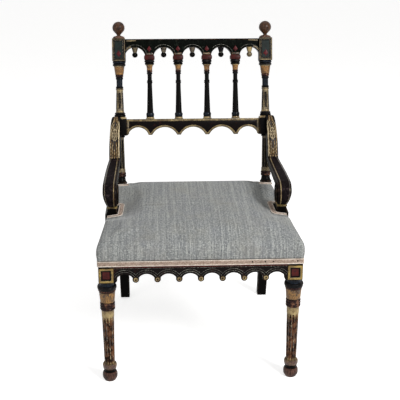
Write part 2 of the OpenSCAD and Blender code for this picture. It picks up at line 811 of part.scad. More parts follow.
// The blocks stand this far off the rails and the legs, for the glue
glue_gap = 0.5;
function inner_side_x(y) = side_x(y) - rail_t - glue_gap;
function front_corner() = let (
  y = inner_front_y + glue_gap,
  x = arcade_half - glue_gap,
  y1 = half_block + glue_gap,
  y2 = y + corner_block_leg
) [
  [-x, y1], [-x, y], [-inner_side_x(y) + corner_block_leg, y],
  [-inner_side_x(y2), y2], [-inner_side_x(y1), y1]
];
function rear_corner() = let (
  x = rear_x - rear_leg_w / 2 - glue_gap,
  y = rear_y - rear_leg_d / 2 - glue_gap,
  back = rear_rail_front_y - glue_gap,
  y2 = back - corner_block_leg
) [
  [-x, back], [-x, y], [-inner_side_x(y), y],
  [-inner_side_x(y2), y2], [-x + corner_block_leg, back]
];

module corner_block(points, right = false) {
  color(beech) in_place() difference() {
    right_side(right) translate([0, 0, corner_z]) linear_extrude(height = corner_block_h) polygon(points);
    corner_screws_all(fit);
  }
}

// Two screws in each corner block, one into each rail and one above the other. A head's place is
// measured from the corner between the rails, along its own rail and off it.
screw_along = 24;
screw_off = 20;
screw_level = 8;
module corner_screw_places() {
  front = inner_front_y + glue_gap;
  back = rear_rail_front_y - glue_gap;
  high = rail_mid_z + screw_level;
  low = rail_mid_z - screw_level;
  each_side() {
    translate([-inner_side_x(front) + screw_along, front + screw_off, high]) rotate([-90, 0, 0]) children();
    translate([-inner_side_x(front) + screw_off, front + screw_along, low]) rotate([0, 90, 0]) children();
    translate([-inner_side_x(back) + 1.5 * screw_along, back - screw_off, high])
      rotate([90, 0, 0]) children();
    translate([-inner_side_x(back) + screw_off, back - 1.25 * screw_along, low])
      rotate([0, 90, 0]) children();
  }
}

module corner_screws_all(grow = 0) {
  corner_screw_places() {
    screw(grow);
    if (grow > 0) cylinder(d = head_d + 2 * grow, h = corner_block_leg);
  }
}

module corner_screws() {
  color(steel) in_place() corner_screws_all();
}

// Arms: the side view [y, z] runs from the post block along the leaf, over the scroll and back
function bent(a, b, c, d, n) = [
  for (i = [0 : n]) let (s = i / n, u = 1 - s)
    u * u * u * a + 3 * u * u * s * b + 3 * u * s * s * c + s * s * s * d
];

// A point on the front face of the post, at a station along it
function on_post_face(t, out = 0) = [
  ref_y + sin(rake) * t - cos(rake) * (post_block / 2 + out),
  ref_z + cos(rake) * t + sin(rake) * (post_block / 2 + out)
];
leaf_end = on_post_face(arm_block_t - 70, 36);
arm_head = on_post_face(arm_leaf_top_t, fit);
leaf_lip = 3;
leaf_rings = 8;
bow_rings = 9;
scroll_rings = 14;
scroll_sweep = 160;
scroll_hub = 8;

// Pairs of points along the arm, one on its outer side and one on its under side
function arm_pairs() = let (
  heel = on_post_face(arm_block_t + 2, fit),
  root = leaf_end + [-2, -leaf_lip],
  below = leaf_end + [22, -20],
  top = [scroll_y, scroll_z + scroll_r],
  under = [scroll_y, scroll_z + scroll_r - arm_t],
  leaf_top = bent(arm_head, arm_head + [-14, 2], leaf_end + [4, 46], leaf_end, leaf_rings),
  leaf_under = bent(heel, heel + [-8, -12], below + [12, 12], below, leaf_rings),
  bow_top = bent(root, root + [-30, -8], top + [90, 2], top, bow_rings),
  bow_under = bent(below + [-3, -2], below + [-24, -12], under + [80, 0], under, bow_rings)
) concat(
  [for (i = [0 : leaf_rings]) [leaf_top[i], leaf_under[i]]],
  [for (i = [0 : bow_rings]) [bow_top[i], bow_under[i]]],
  [for (i = [1 : scroll_rings]) let (a = 90 + scroll_sweep * i / scroll_rings, d = [cos(a), sin(a)])
    [[scroll_y, scroll_z] + scroll_r * d, [scroll_y, scroll_z] + scroll_hub * d]]
);

// The arm's middle line swings in towards the post, and its width changes along it
function along(y) = max(0, min(1, (y - scroll_y) / (arm_head[0] - scroll_y)));
arm_bow = 5;
arm_taper = 3;
function arm_mid(y) = arm_x - arm_draw_in * pow(along(y), arm_bow);
leaf_w = 29;
function arm_half(y) = (arm_w + (leaf_w - arm_w) * pow(along(y), arm_taper)) / 2;

// Below the middle of the scroll the arm narrows to its collar and swings in over it
collar_in = 4;
function low_share(z) = pow(max(0, min(1, (scroll_z + 14 - z) / (scroll_z + 14 - collar_top_z))), 1.4);
arm_chamfer = 5;
function arm_ring(pair) = let (
  t = pair[0],
  u = pair[1],
  d = (u - t) / norm(u - t),
  n = t[0] < scroll_y ? low_share(t[1]) : 0,
  x = -arm_mid(t[0]) + collar_in * n,
  w = arm_half(t[0]) * (1 - n) + (collar_w / 2 + 1) * n,
  c = min(arm_chamfer, norm(u - t) / 3),
  a = t + c * d,
  b = u - c * d
) [
  [x - w, b[0], b[1]], [x - w + c, u[0], u[1]], [x + w - c, u[0], u[1]], [x + w, b[0], b[1]],
  [x + w, a[0], a[1]], [x + w - c, t[0], t[1]], [x - w + c, t[0], t[1]], [x - w, a[0], a[1]]
];

module arm_band() {
  pairs = arm_pairs();
  n = 8;
  last = len(pairs) - 1;
  faces = concat(
    [for (k = [0 : last - 1], j = [0 : n - 1]) [k * n + j, (k + 1) * n + j, (k + 1) * n + (j + 1) % n]],
    [for (k = [0 : last - 1], j = [0 : n - 1]) [k * n + j, (k + 1) * n + (j + 1) % n, k * n + (j + 1) % n]],
    [for (j = [1 : n - 2]) [0, j, j + 1]],
    [for (j = [1 : n - 2]) [last * n, last * n + j + 1, last * n + j]]
  );
  polyhedron(points = [for (p = pairs) each arm_ring(p)], faces = faces, convexity = 8);
}

module arm(right = false) {
  drum_out = 11;
  drum_in = 18;
  color(ebony) in_place() right_side(right) difference() {
    union() {
      arm_band();
      translate([-arm_x - drum_out, scroll_y, scroll_z]) rotate([0, 90, 0])
        cylinder(r = scroll_r - 1.5, h = drum_out + drum_in);
      translate([-arm_x, scroll_y, scroll_z]) rotate([0, 90, 0])
        cylinder(r = volute_r, h = arm_w / 2 + volute_proud);
    }
    translate([-front_span, 0, 0]) cube([front_span, foot_depth, collar_top_z]);
    arm_dowel(fit);
    plinth_dowel(fit);
  }
}

// Dowel between the left arm and its post, square to the post's face
module arm_dowel(grow = 0) {
  t = arm_block_t + arm_block_l / 2;
  on_rake() translate([-arm_post_x, -post_block / 2, t]) rotate([90, 0, 0])
    translate([0, 0, -dowel_depth - grow])
      cylinder(d = dowel_d + 2 * grow, h = 2 * dowel_depth - 4 + 2 * grow);
}

// Dowel between the left arm's scroll and its plinth
module plinth_dowel(grow = 0) {
  translate([-arm_x + collar_in, scroll_y + 4, collar_top_z - dowel_depth - grow])
    cylinder(d = dowel_d + 2 * grow, h = 2 * dowel_depth + 2 * grow);
}

module arm_dowels() {
  color(beech) in_place() each_side() arm_dowel();
}

module plinth_dowels() {
  color(beech) in_place() each_side() plinth_dowel();
}

// Plinth: a flared block on the side rail, with a gilt collar on top
plinth_x = arm_x - 1;
module arm_plinth(right = false) {
  low_z = rail_top_z;
  foot_h = 22;
  head_z = collar_top_z - collar_h;
  flare_h = head_z - low_z - foot_h;
  color(ebony) in_place() right_side(right) difference() {
    union() {
      translate([-plinth_x - plinth_w / 2, plinth_y - plinth_l / 2, low_z])
        cube([plinth_w, plinth_l, foot_h]);
      intersection() {
        across(2 * front_span) polygon([
          [plinth_y - plinth_l / 2, low_z + foot_h - over], [plinth_y + plinth_l / 2, low_z + foot_h - over],
          [plinth_y + plinth_l / 2, low_z + foot_h],
          for (i = [0 : arc_steps]) let (a = 90 * i / arc_steps)
            [plinth_y + plinth_l / 2 - (plinth_y + plinth_l / 2 - collar_y - plinth_head_l / 2) * sin(a),
             low_z + foot_h + flare_h * (1 - cos(a))],
          for (i = [arc_steps : -1 : 0]) let (a = 90 * i / arc_steps)
            [plinth_y - plinth_l / 2 + (collar_y - plinth_head_l / 2 - plinth_y + plinth_l / 2) * sin(a),
             low_z + foot_h + flare_h * (1 - cos(a))]
        ]);
        rotate([90, 0, 0]) translate([0, 0, -2 * foot_depth])
          linear_extrude(height = 2 * foot_depth) polygon([
          for (i = [0 : arc_steps]) let (a = 90 * i / arc_steps)
            [-plinth_x - plinth_w / 2 + (plinth_w / 2 - collar_w / 2 + 4) * sin(a),
             low_z + foot_h - over + (flare_h + over) * (1 - cos(a))],
          for (i = [arc_steps : -1 : 0]) let (a = 90 * i / arc_steps)
            [-plinth_x + plinth_w / 2 - (plinth_w / 2 - collar_w / 2 - 1) * sin(a),
             low_z + foot_h - over + (flare_h + over) * (1 - cos(a))]
        ]);
      }
      translate([-arm_x + collar_in - collar_w / 2, collar_y - collar_l / 2, head_z])
        cube([collar_w, collar_l, collar_h]);
    }
    plinth_dowel(fit);
    plinth_screw_places() screw(fit, plinth_screw_l);
  }
}

plinth_screw_l = rail_top_z - rail_bottom_z + 18;
module plinth_screw_places() {
  each_side() for (y = [-18, 18])
    translate([-side_x(plinth_y + y) + rail_t / 2, plinth_y + y, rail_bottom_z + 2])
      rotate([180, 0, 0]) children();
}

module plinth_screws() {
  color(steel) in_place() plinth_screw_places() screw(0, plinth_screw_l);
}

// Webbing: strips under the rails, one layer each way
module webbing(lengthwise) {
  count = 4;
  reach = 8;
  span_y = [rail_front_y + reach, rear_rail_back_y - reach];
  color(beech) in_place()
    for (k = [0 : count - 1])
      if (lengthwise) {
        x = (k - (count - 1) / 2) * (rear_span - 40) / count;
        translate([x - web_w / 2, span_y[0], web_z]) cube([web_w, span_y[1] - span_y[0], web_t]);
      } else {
        y = span_y[0] + (k + 0.5) * (span_y[1] - span_y[0]) / count;
        half = side_x(y + web_w / 2) - reach;
        translate([-half, y - web_w / 2, web_z - web_t - 0.2]) cube([2 * half, web_w, web_t]);
      }
}

// A spring is one wire that climbs in turns, wide at both ends and slim at the waist
spring_sides = 6;
rings_per_turn = 8;
function spring_point(s) = let (
  a = 360 * spring_turns * s,
  r = spring_waist_d / 2 + (spring_d - spring_waist_d) / 2 * pow(abs(2 * s - 1), 1.5)
) [r * cos(a), r * sin(a), spring_rise * s];
spring_rings = spring_turns * rings_per_turn;
function spring_ring(k) = let (
  s = k / spring_rings,
  a = 360 * spring_turns * s,
  p = spring_point(s)
) [for (j = [0 : spring_sides - 1]) let (b = 360 * j / spring_sides)
  p + wire_d / 2 * [cos(b) * cos(a), cos(b) * sin(a), sin(b)]];

module spring() {
  n = spring_sides;
  points = [for (k = [0 : spring_rings]) each spring_ring(k)];
  faces = concat(
    [for (k = [0 : spring_rings - 1], j = [0 : n - 1])
      [k * n + j, (k + 1) * n + j, (k + 1) * n + (j + 1) % n]],
    [for (k = [0 : spring_rings - 1], j = [0 : n - 1])
      [k * n + j, (k + 1) * n + (j + 1) % n, k * n + (j + 1) % n]],
    [for (j = [1 : n - 2]) [0, j, j + 1]],
    [for (j = [1 : n - 2]) [spring_rings * n, spring_rings * n + j + 1, spring_rings * n + j]]
  );
  polyhedron(points = points, faces = faces, convexity = 10);
}

spring_pitch_x = (rear_span - 40) / 4;
spring_pitch_y = (inner_back_y - inner_front_y) / 4;
module seat_springs() {
  mid_y = (inner_front_y + inner_back_y) / 2;
  color(steel) in_place()
    for (i = [0 : spring_rows - 1], j = [0 : spring_rows - 1])
      translate([
        (i - (spring_rows - 1) / 2) * spring_pitch_x,
        mid_y + (j - (spring_rows - 1) / 2) * spring_pitch_y,
        spring_seat_z
      ]) spring();
}

// Cloth over the springs, and the black cloth that closes the seat from below
module frame_sheet(z, thick, inset) {
  a = rail_front_y + inset;
  b = rear_rail_back_y - inset;
  translate([0, 0, z]) linear_extrude(height = thick) difference() {
    polygon([
      [-side_x(a) + inset, a], [-side_x(b) + inset, b], [side_x(b) - inset, b], [side_x(a) - inset, a]
    ]);
    each_side() translate([-front_x - half_block, -half_block]) square(leg_block + 1);
    each_side() translate([-rear_x - rear_leg_w, rear_y - rear_leg_d / 2 - 3])
      square([1.5 * rear_leg_w + 1, foot_depth]);
  }
}

module spring_hessian() {
  color(beech) in_place() frame_sheet(hessian_z, hessian_t, rail_t + 6);
}

module dust_cover() {
  color(ebony) in_place() frame_sheet(dust_z, dust_t, 5);
}

// Cushion: rings of points round the seat, from the hem up over the crown
side_points = 9;
corner_r = 9;
function seat_corners() = let (
  f = side_x(0) + cover_proud,
  b = side_x(rear_y) + cover_proud
) [[f, cushion_front_y], [b, cushion_back_y], [-b, cushion_back_y], [-f, cushion_front_y]];

function seat_edge(k) = let (
  c = seat_corners(),
  p = c[(k + 3) % 4],
  q = c[k],
  r = c[(k + 1) % 4],
  into = (p - q) / norm(p - q) * corner_r,
  out = (r - q) / norm(r - q) * corner_r,
  a = q + out,
  b = r - (r - q) / norm(r - q) * corner_r
) concat(
  [for (i = [0 : 3]) let (s = i / 4, u = 1 - s) u * u * (q + into) + 2 * u * s * q + s * s * a],
  [for (i = [0 : side_points - 1]) a + (b - a) * i / side_points]
);

seat_mid_y = (cushion_front_y + cushion_back_y) / 2;
seat_half_y = (cushion_back_y - cushion_front_y) / 2;
function pulled(p) = [
  p[0] * (1 - draw_in / front_x * sin(180 * (p[1] - cushion_front_y) / (2 * seat_half_y))),
  p[1] + (p[1] < seat_mid_y ? 1 : -1) * draw_in * cos(90 * p[0] / front_out_x) *
    pow(abs(p[1] - seat_mid_y) / seat_half_y, 4)
];
seat_outline = [for (k = [0 : 3]) each seat_edge(k)];
outline_count = len(seat_outline);

// Each ring lies this far in from the edge and this far up between the hem and the crown
seat_rise = crown_z - cushion_low_z;
seat_rings = [
  [0, 0], [-cover_bulge * 0.8, 0.16], [-cover_bulge, 0.32], [-cover_bulge * 0.3, 0.46],
  [3, 0.58], [10, 0.69], [20, 0.77], [34, 0.84], [56, 0.895], [88, 0.94], [130, 0.972], [180, 0.992],
  [225, 0.999]
];
function seat_ring(r) = [
  for (p = seat_outline) let (
    q = pulled(p),
    k = 1 - r[0] / front_out_x,
    m = 1 - r[0] / seat_half_y
  ) [q[0] * k, seat_mid_y + (q[1] - seat_mid_y) * m, cushion_low_z + seat_rise * r[1]]
];

module cushion_form() {
  n = outline_count;
  rings = len(seat_rings);
  points = concat(
    [for (r = seat_rings) each seat_ring(r)],
    [[0, seat_mid_y, crown_z], [0, seat_mid_y, cushion_low_z]]
  );
  top = rings * n;
  faces = concat(
    [for (k = [0 : rings - 2], j = [0 : n - 1]) [k * n + j, (k + 1) * n + j, (k + 1) * n + (j + 1) % n]],
    [for (k = [0 : rings - 2], j = [0 : n - 1]) [k * n + j, (k + 1) * n + (j + 1) % n, k * n + (j + 1) % n]],
    [for (j = [0 : n - 1]) [(rings - 1) * n + j, top, (rings - 1) * n + (j + 1) % n]],
    [for (j = [0 : n - 1]) [j, (j + 1) % n, top + 1]]
  );
  polyhedron(points = points, faces = faces, convexity = 6);
}

// Space that the frame takes up inside the cover
module frame_space(grow) {
  top = rail_top_z + grow;
  a = rail_front_y - grow;
  b = rear_rail_back_y + grow;
  low = cushion_low_z - over;
  translate([0, 0, low]) linear_extrude(height = top - low) {
    polygon([[-side_x(a) - grow, a], [-side_x(b) - grow, b], [side_x(b) + grow, b], [side_x(a) + grow, a]]);
    each_side() translate([-front_x - half_block - grow, -half_block - grow]) square(leg_block + 2 * grow);
  }
}

module seat_cushion() {
  pocket_in = 4;
  front_half = side_x(inner_front_y) - rail_t - pocket_in;
  back_half = side_x(inner_back_y) - rail_t - pocket_in;
  color(grey_cloth) in_place() difference() {
    cushion_form();
    frame_space(soft_gap);
    translate([0, 0, rail_top_z - over]) linear_extrude(height = pocket_z - rail_top_z + over)
      polygon([
        [-front_half, inner_front_y + pocket_in], [-back_half, inner_back_y - pocket_in],
        [back_half, inner_back_y - pocket_in], [front_half, inner_front_y + pocket_in]
      ]);
    each_side() {
      post_notch(soft_gap);
      translate([-plinth_x - plinth_w / 2 - 40, plinth_y - plinth_l / 2 - soft_gap, rail_top_z - soft_gap])
        cube([plinth_w + 40 + soft_gap, plinth_l + 2 * soft_gap, crown_z]);
      translate([-plinth_x - plinth_w / 2 - 40, plinth_y - plinth_l / 2 - braid_w, plinth_ledge_z])
        cube([plinth_w + 40 + braid_w, plinth_l + 2 * braid_w, crown_z]);
    }
  }
}

// Cuts away what lies behind the front of the left post and outside its inner face
module post_notch(grow) {
  wide = 2 * rear_leg_w;
  inner = max(post_base_d, rear_leg_w) / 2 + grow;
  start = leg_at(square_top_z);
  steps = leg_bend_steps;
  far = 2 * foot_depth;
  translate([-rear_x + inner - wide, 0, 0]) rotate([90, 0, 90]) linear_extrude(height = wide) polygon(concat(
    [for (i = [0 : steps]) let (s = start + (1 - start) * i / steps, p = leg_line(s))
      [p[0] - half_depth(s) - grow, p[1]]],
    [[far, 0], [far, square_top_z]]
  ));
  translate([-rear_x + inner - wide, 0, 0]) on_rake()
    translate([0, -post_base_d / 2 - grow, -20]) cube([wide, far, 4 * turning_rise]);
}

plinth_ledge_z = rail_top_z + 20;

// Braid round the plinth, on the cushion's ledge
module plinth_braid() {
  z = plinth_ledge_z + soft_gap;
  x = plinth_x + plinth_w / 2 - 3;
  color(cream) in_place() each_side() translate([0, 0, z]) linear_extrude(height = braid_t) difference() {
    translate([-x, plinth_y - plinth_l / 2 - braid_w + 1])
      square([plinth_w - 3 + braid_w - 1, plinth_l + 2 * braid_w - 2]);
    translate([-x - over, plinth_y - plinth_l / 2 - soft_gap])
      square([plinth_w - 3 + soft_gap + over, plinth_l + 2 * soft_gap]);
  }
}

// Braid along the lower edge of the cover, round the front corners and back to the posts
module seat_braid() {
  low = arcade_top_z - braid_w;
  out = soft_gap + braid_t;
  b = rear_y - rear_leg_d / 2 - 2;
  function edge(g) = [
    [-side_x(b) - g, b], [-front_out_x - g, half_block], [-front_out_x - g, -half_block - g],
    [front_out_x + g, -half_block - g], [front_out_x + g, half_block], [side_x(b) + g, b]
  ];
  color(cream) in_place() {
    translate([0, 0, low]) linear_extrude(height = braid_w)
      polygon(concat(edge(out), [for (i = [5 : -1 : 0]) edge(soft_gap)[i]]));
    translate([-rear_x + rear_leg_w / 2 + 2, rear_rail_back_y + soft_gap, low])
      cube([rear_span - rear_leg_w - 4, braid_t, braid_w]);
  }
}

front_leg();  // front_leg_left
front_leg(true);  // front_leg_right
rear_post();  // rear_post_left
rear_post(true);  // rear_post_right
finial();  // finial_left
finial(true);  // finial_right
crest_rail();
crest_drops();
colonnette(0);  // colonnette_1
colonnette(1);  // colonnette_2
colonnette(2);  // colonnette_3
colonnette(3);  // colonnette_4
mid_rail();
front_rail();
front_arcade();
arcade_bosses();
arcade_screws();
side_rail();  // side_rail_left
side_rail(true);  // side_rail_right
rear_rail();
corner_block(front_corner());  // corner_block_front_left
corner_block(front_corner(), true);  // corner_block_front_right
corner_block(rear_corner());  // corner_block_rear_left
corner_block(rear_corner(), true);  // corner_block_rear_right
corner_screws();
arm();  // arm_left
arm(true);  // arm_right
arm_plinth();  // arm_plinth_left
arm_plinth(true);  // arm_plinth_right
arm_dowels();
plinth_dowels();
plinth_screws();
webbing(true);  // webbing_lengthwise
webbing(false);  // webbing_crosswise
seat_springs();
spring_hessian();
seat_cushion();
seat_braid();
plinth_braid();
dust_cover();
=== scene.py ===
"""Ebonized and gilded armchair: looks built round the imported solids.

Shapes are worked out in millimetres, with X across, Y back from the front legs and Z up, and turned
to metres when a piece is settled. Pieces of the back are made upright and then leaned with it.
"""

import math

import bmesh
import bpy
from mathutils import Matrix, Vector, noise


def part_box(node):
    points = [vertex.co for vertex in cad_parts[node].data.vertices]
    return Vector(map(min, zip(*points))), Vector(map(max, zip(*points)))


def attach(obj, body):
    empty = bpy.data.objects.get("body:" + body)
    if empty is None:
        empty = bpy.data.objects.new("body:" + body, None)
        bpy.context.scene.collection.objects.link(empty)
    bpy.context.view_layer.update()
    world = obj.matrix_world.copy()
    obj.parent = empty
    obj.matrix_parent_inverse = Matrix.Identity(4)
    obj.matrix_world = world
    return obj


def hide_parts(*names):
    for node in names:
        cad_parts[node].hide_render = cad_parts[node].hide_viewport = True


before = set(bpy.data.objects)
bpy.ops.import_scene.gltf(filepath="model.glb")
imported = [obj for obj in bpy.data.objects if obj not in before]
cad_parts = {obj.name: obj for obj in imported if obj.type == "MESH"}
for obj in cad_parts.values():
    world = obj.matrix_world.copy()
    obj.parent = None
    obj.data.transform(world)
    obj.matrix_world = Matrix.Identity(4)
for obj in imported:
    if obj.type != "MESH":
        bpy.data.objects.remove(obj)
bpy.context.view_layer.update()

MM = 0.001
LEG_LOW, LEG_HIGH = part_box("front_leg_left")
LEG_Y = (LEG_LOW[1] + LEG_HIGH[1]) / 2
RAKE = math.radians(14)
TURNING_Y, TURNING_Z = 512, 426

shift, turned_by = Matrix.Translation, Matrix.Rotation
UPRIGHT = shift((0, LEG_Y, 0)) @ Matrix.Scale(MM, 4)
LEAN = shift((0, TURNING_Y, TURNING_Z)) @ turned_by(-RAKE, 4, "X")
LEANED = UPRIGHT @ LEAN
FACING_FRONT = turned_by(math.pi / 2, 4, "X")

FRONT_X, REAR_X = 259, 236
FRONT_OUT_X, REAR_OUT_X, REAR_Y = 280, 253, 503.54
RAIL_TOP, TWO_SIDES = 392, ((-1, "left"), (1, "right"))


def side_x(y):
    """The outer face of the side rail, from the chair's middle"""
    return FRONT_OUT_X + (REAR_OUT_X - FRONT_OUT_X) * y / REAR_Y


# Materials


def linear(hex_colour):
    """An sRGB hex colour as the linear RGBA that a shader takes"""
    channels = [int(hex_colour[i : i + 2], 16) / 255 for i in (1, 3, 5)]
    return (*(c / 12.92 if c <= 0.04045 else ((c + 0.055) / 1.055) ** 2.4 for c in channels), 1.0)


def add(tree, kind, inputs=None, out=0, **settings):
    """Adds a shader node with its settings and links; gives the output asked for.

    An input is a number, a hex colour, or the socket that feeds it.
    """
    made = tree.nodes.new("ShaderNode" + kind)
    for name, value in settings.items():
        setattr(made, name, value)
    for key, value in (inputs or {}).items():
        if isinstance(value, bpy.types.NodeSocket):
            tree.links.new(value, made.inputs[key])
        else:
            made.inputs[key].default_value = linear(value) if isinstance(value, str) else value
    return made.outputs[out] if made.outputs else None


# A Mix node's factor and two colours, and its mixed colour, by their numbers
FACTOR, UNDER, OVER, MIXED = 0, 6, 7, 2


def finish(name, surface):
    """A material whose surface is described by a function that returns its shader's inputs"""
    made = bpy.data.materials.new(name)
    made.use_nodes = True
    made.node_tree.nodes.clear()
    shader = add(made.node_tree, "BsdfPrincipled", surface(made.node_tree), "BSDF")
    add(made.node_tree, "OutputMaterial", {"Surface": shader})
    return made


def patches(tree, size_mm, low, high, detail=4, rough=0.65, drawn=None, place=None):
    """Soft-edged patches about that wide: 0 where the noise is below low, 1 above high.

    They lie in the object's own space unless a place is given, and are drawn out along an axis
    whose share is under 1.
    """
    if place is None:
        place = add(tree, "TexCoord", out="Object")
    if drawn:
        place = add(tree, "Mapping", {"Vector": place, "Scale": drawn})
    blobs = add(tree, "TexNoise", {
        "Vector": place, "Scale": 500 / size_mm, "Detail": detail, "Roughness": rough,
    })
    return add(tree, "MapRange", {"Value": blobs, "From Min": low, "From Max": high},
               interpolation_type="SMOOTHSTEP")


def layered(tree, colour, *layers):
    """Lays colours over each other; a layer is where it shows, from 0 to 1, and its colour"""
    for share, over in layers:
        colour = add(tree, "Mix", {FACTOR: share, UNDER: colour, OVER: over}, MIXED, data_type="RGBA")
    return colour


def ebonized_wood(name, black, worn, share, gloss, polish=0.0, shine=0.03):
    """Beech stained black and French polished: soft shine, brown where hands rubbed the stain away"""
    def surface(tree):
        rubbed = patches(tree, 7, 0.62 - share, 0.74 - share, 5, 0.7)
        grain = patches(tree, 1.4, 0.3, 0.7, 2, drawn=(1, 1, 0.12))
        ripples = patches(tree, 4, 0, 1)
        return {
            "Base Color": layered(tree, black, (grain, "#080706"), (rubbed, worn)),
            "Roughness": add(tree, "MapRange", {"Value": rubbed, "To Min": gloss, "To Max": gloss + 0.22}),
            "Normal": add(tree, "Bump", {"Height": ripples, "Distance": 0.08 * MM, "Strength": 0.3}),
            "IOR": 1.5,
            "Specular IOR Level": shine,
            "Coat Weight": polish,
            "Coat Roughness": 0.18,
        }
    return finish(name, surface)


def gilded_wood(name, leaf, dark_leaf, bole, wear, dullness=0.38, streak=1.0):
    """Gold leaf over red-brown bole: warm and metallic, with the bole and dirt where it is rubbed"""
    def surface(tree):
        clouds = patches(tree, 9, 0.35, 0.68, 4, 0.6)
        scratches = patches(tree, 1.6, 0.68 - wear, 0.78 - wear, 4, 0.7, (1, 1, streak))
        dirt = patches(tree, 3.5, 0.66 - wear / 2, 0.74 - wear / 2, 5, 0.75)
        dull = {"Value": clouds, "To Min": dullness - 0.1, "To Max": dullness + 0.2}
        return {
            "Base Color": layered(tree, dark_leaf, (clouds, leaf), (scratches, bole), (dirt, "#1c150d")),
            "Metallic": 0.2,
            "Roughness": add(tree, "MapRange", dull),
            "Normal": add(tree, "Bump", {"Height": scratches, "Distance": 0.2 * MM, "Strength": 0.6}),
        }
    return finish(name, surface)


def painted_wood(name, colour, worn):
    """Oil paint on wood, brushed on thin, so the black ground shows where it is chipped"""
    def surface(tree):
        chipped = patches(tree, 3, 0.56, 0.68, 5, 0.7)
        uneven = patches(tree, 6, 0.3, 0.7)
        return {
            "Base Color": layered(tree, colour, (uneven, worn), (chipped, "#231210")),
            "Roughness": 0.42,
            "IOR": 1.48,
            "Specular IOR Level": 0.15,
            "Normal": add(tree, "Bump", {"Height": uneven, "Distance": 0.1 * MM, "Strength": 0.4}),
        }
    return finish(name, surface)


def carved_gilding(tree):
    """Gilded carving, coloured by its carved height: near black in the hollows as painted shade, gold on the
    middle heights, and cream on the high places as painted highlight
    """
    depth = add(tree, "Attribute", out="Fac", attribute_name="relief")
    grit = patches(tree, 2.2, 0, 1)
    height = add(tree, "Math", {0: grit, 1: 0.34, 2: depth}, operation="MULTIPLY_ADD")
    low, high = [
        add(tree, "MapRange", {"Value": height, "From Min": start, "From Max": end},
            interpolation_type="SMOOTHSTEP")
        for start, end in ((0.36, 0.62), (0.68, 1.0))
    ]
    # The near black is painted shade in the hollows; the cream is painted highlight on the high places
    return {
        "Base Color": layered(tree, "#150d08", (low, "#7a5c30"), (high, "#dccaa4")),
        "Metallic": 0.2,
        "Roughness": 0.45,
        "Normal": add(tree, "Bump", {"Height": grit, "Distance": 0.2 * MM, "Strength": 0.7}),
    }


def polished_wood(name, dark, light, gloss):
    """Brown stained beech, polished and knocked about, with darker soft stains"""
    def surface(tree):
        scuffs = patches(tree, 8, 0.48, 0.72, 5, 0.6)
        grain = patches(tree, 1.5, 0.3, 0.7, 3, drawn=(1, 1, 0.2))
        return {
            "Base Color": layered(tree, dark, (grain, light), (scuffs, "#1d1210")),
            "Roughness": add(tree, "MapRange", {"Value": scuffs, "To Min": gloss, "To Max": gloss + 0.25}),
            "Normal": add(tree, "Bump", {"Height": scuffs, "Distance": 0.2 * MM, "Strength": 0.3}),
            "IOR": 1.5,
            "Specular IOR Level": 0.14,
            "Coat Weight": 0.03,
            "Coat Roughness": 0.2,
        }
    return finish(name, surface)


def sawn_beech(tree):
    """Beech left bare inside the seat: pale, with short brown flecks along the grain"""
    grain = patches(tree, 2.4, 0.25, 0.75, 5, drawn=(0.08, 0.6, 1))
    flecks = patches(tree, 1.1, 0.6, 0.68, 2, drawn=(0.2, 1, 1))
    return {
        "Base Color": layered(tree, "#b98f5f", (grain, "#8f6638"), (flecks, "#6d4a28")),
        "Roughness": 0.68,
        "IOR": 1.45,
        "Normal": add(tree, "Bump", {"Height": grain, "Distance": 0.3 * MM, "Strength": 0.6}),
    }


def drawn_steel(tree):
    """Mild steel wire and screws, dulled by age, with a little rust"""
    rust = patches(tree, 4, 0.52, 0.66, 5, 0.7)
    grit = patches(tree, 1, 0, 1)
    return {
        "Base Color": layered(tree, "#6f6e6c", (rust, "#5a3a24")),
        "Metallic": 0.9,
        "Roughness": add(tree, "MapRange", {"Value": rust, "To Min": 0.35, "To Max": 0.7}),
        "Normal": add(tree, "Bump", {"Height": grit, "Distance": 0.1 * MM, "Strength": 0.5}),
    }


def woven(name, dark, light, thread_mm):
    """Plain weave, drawn as two crossed waves a thread's width apart; coarser than life to show"""
    def surface(tree):
        place = add(tree, "TexCoord", out="Object")
        wave = {"Vector": place, "Scale": 1000 / (thread_mm * math.tau), "Distortion": 0.6}
        across, down = [add(tree, "TexWave", wave, "Fac", bands_direction=way) for way in "XY"]
        crossed = add(tree, "Math", {0: across, 1: down}, operation="MULTIPLY")
        threads = add(tree, "MapRange", {"Value": crossed, "From Min": 0.1, "From Max": 0.7})
        uneven = patches(tree, 5 * thread_mm, 0.3, 0.75)
        return {
            "Base Color": layered(tree, dark, (threads, light), (uneven, dark)),
            "Roughness": 0.9,
            "IOR": 1.4,
            "Sheen Weight": 0.15,
            "Normal": add(tree, "Bump", {"Height": crossed, "Distance": 0.25 * MM, "Strength": 0.8}),
        }
    return finish(name, surface)


# The cover's marks: width and length in mm, from and to in the noise, colour and strength
SLUBS = [
    (2.4, 240, 0.40, 0.60, "#adafab", 1.0),
    (5, 400, 0.42, 0.58, "#6c6f71", 0.5),
    (2.6, 2, 0.35, 0.65, "#63676a", 0.6),
    (2.6, 2.6, 0.52, 0.62, "#c2c4be", 0.55),
    (2.4, 5, 0.53, 0.63, "#505355", 0.6),
    (2.2, 30, 0.56, 0.66, "#c4c5be", 0.45),
    (46, 60, 0.42, 0.72, "#918d7f", 0.3),
    (60, 80, 0.42, 0.72, "#7f8190", 0.15),
]


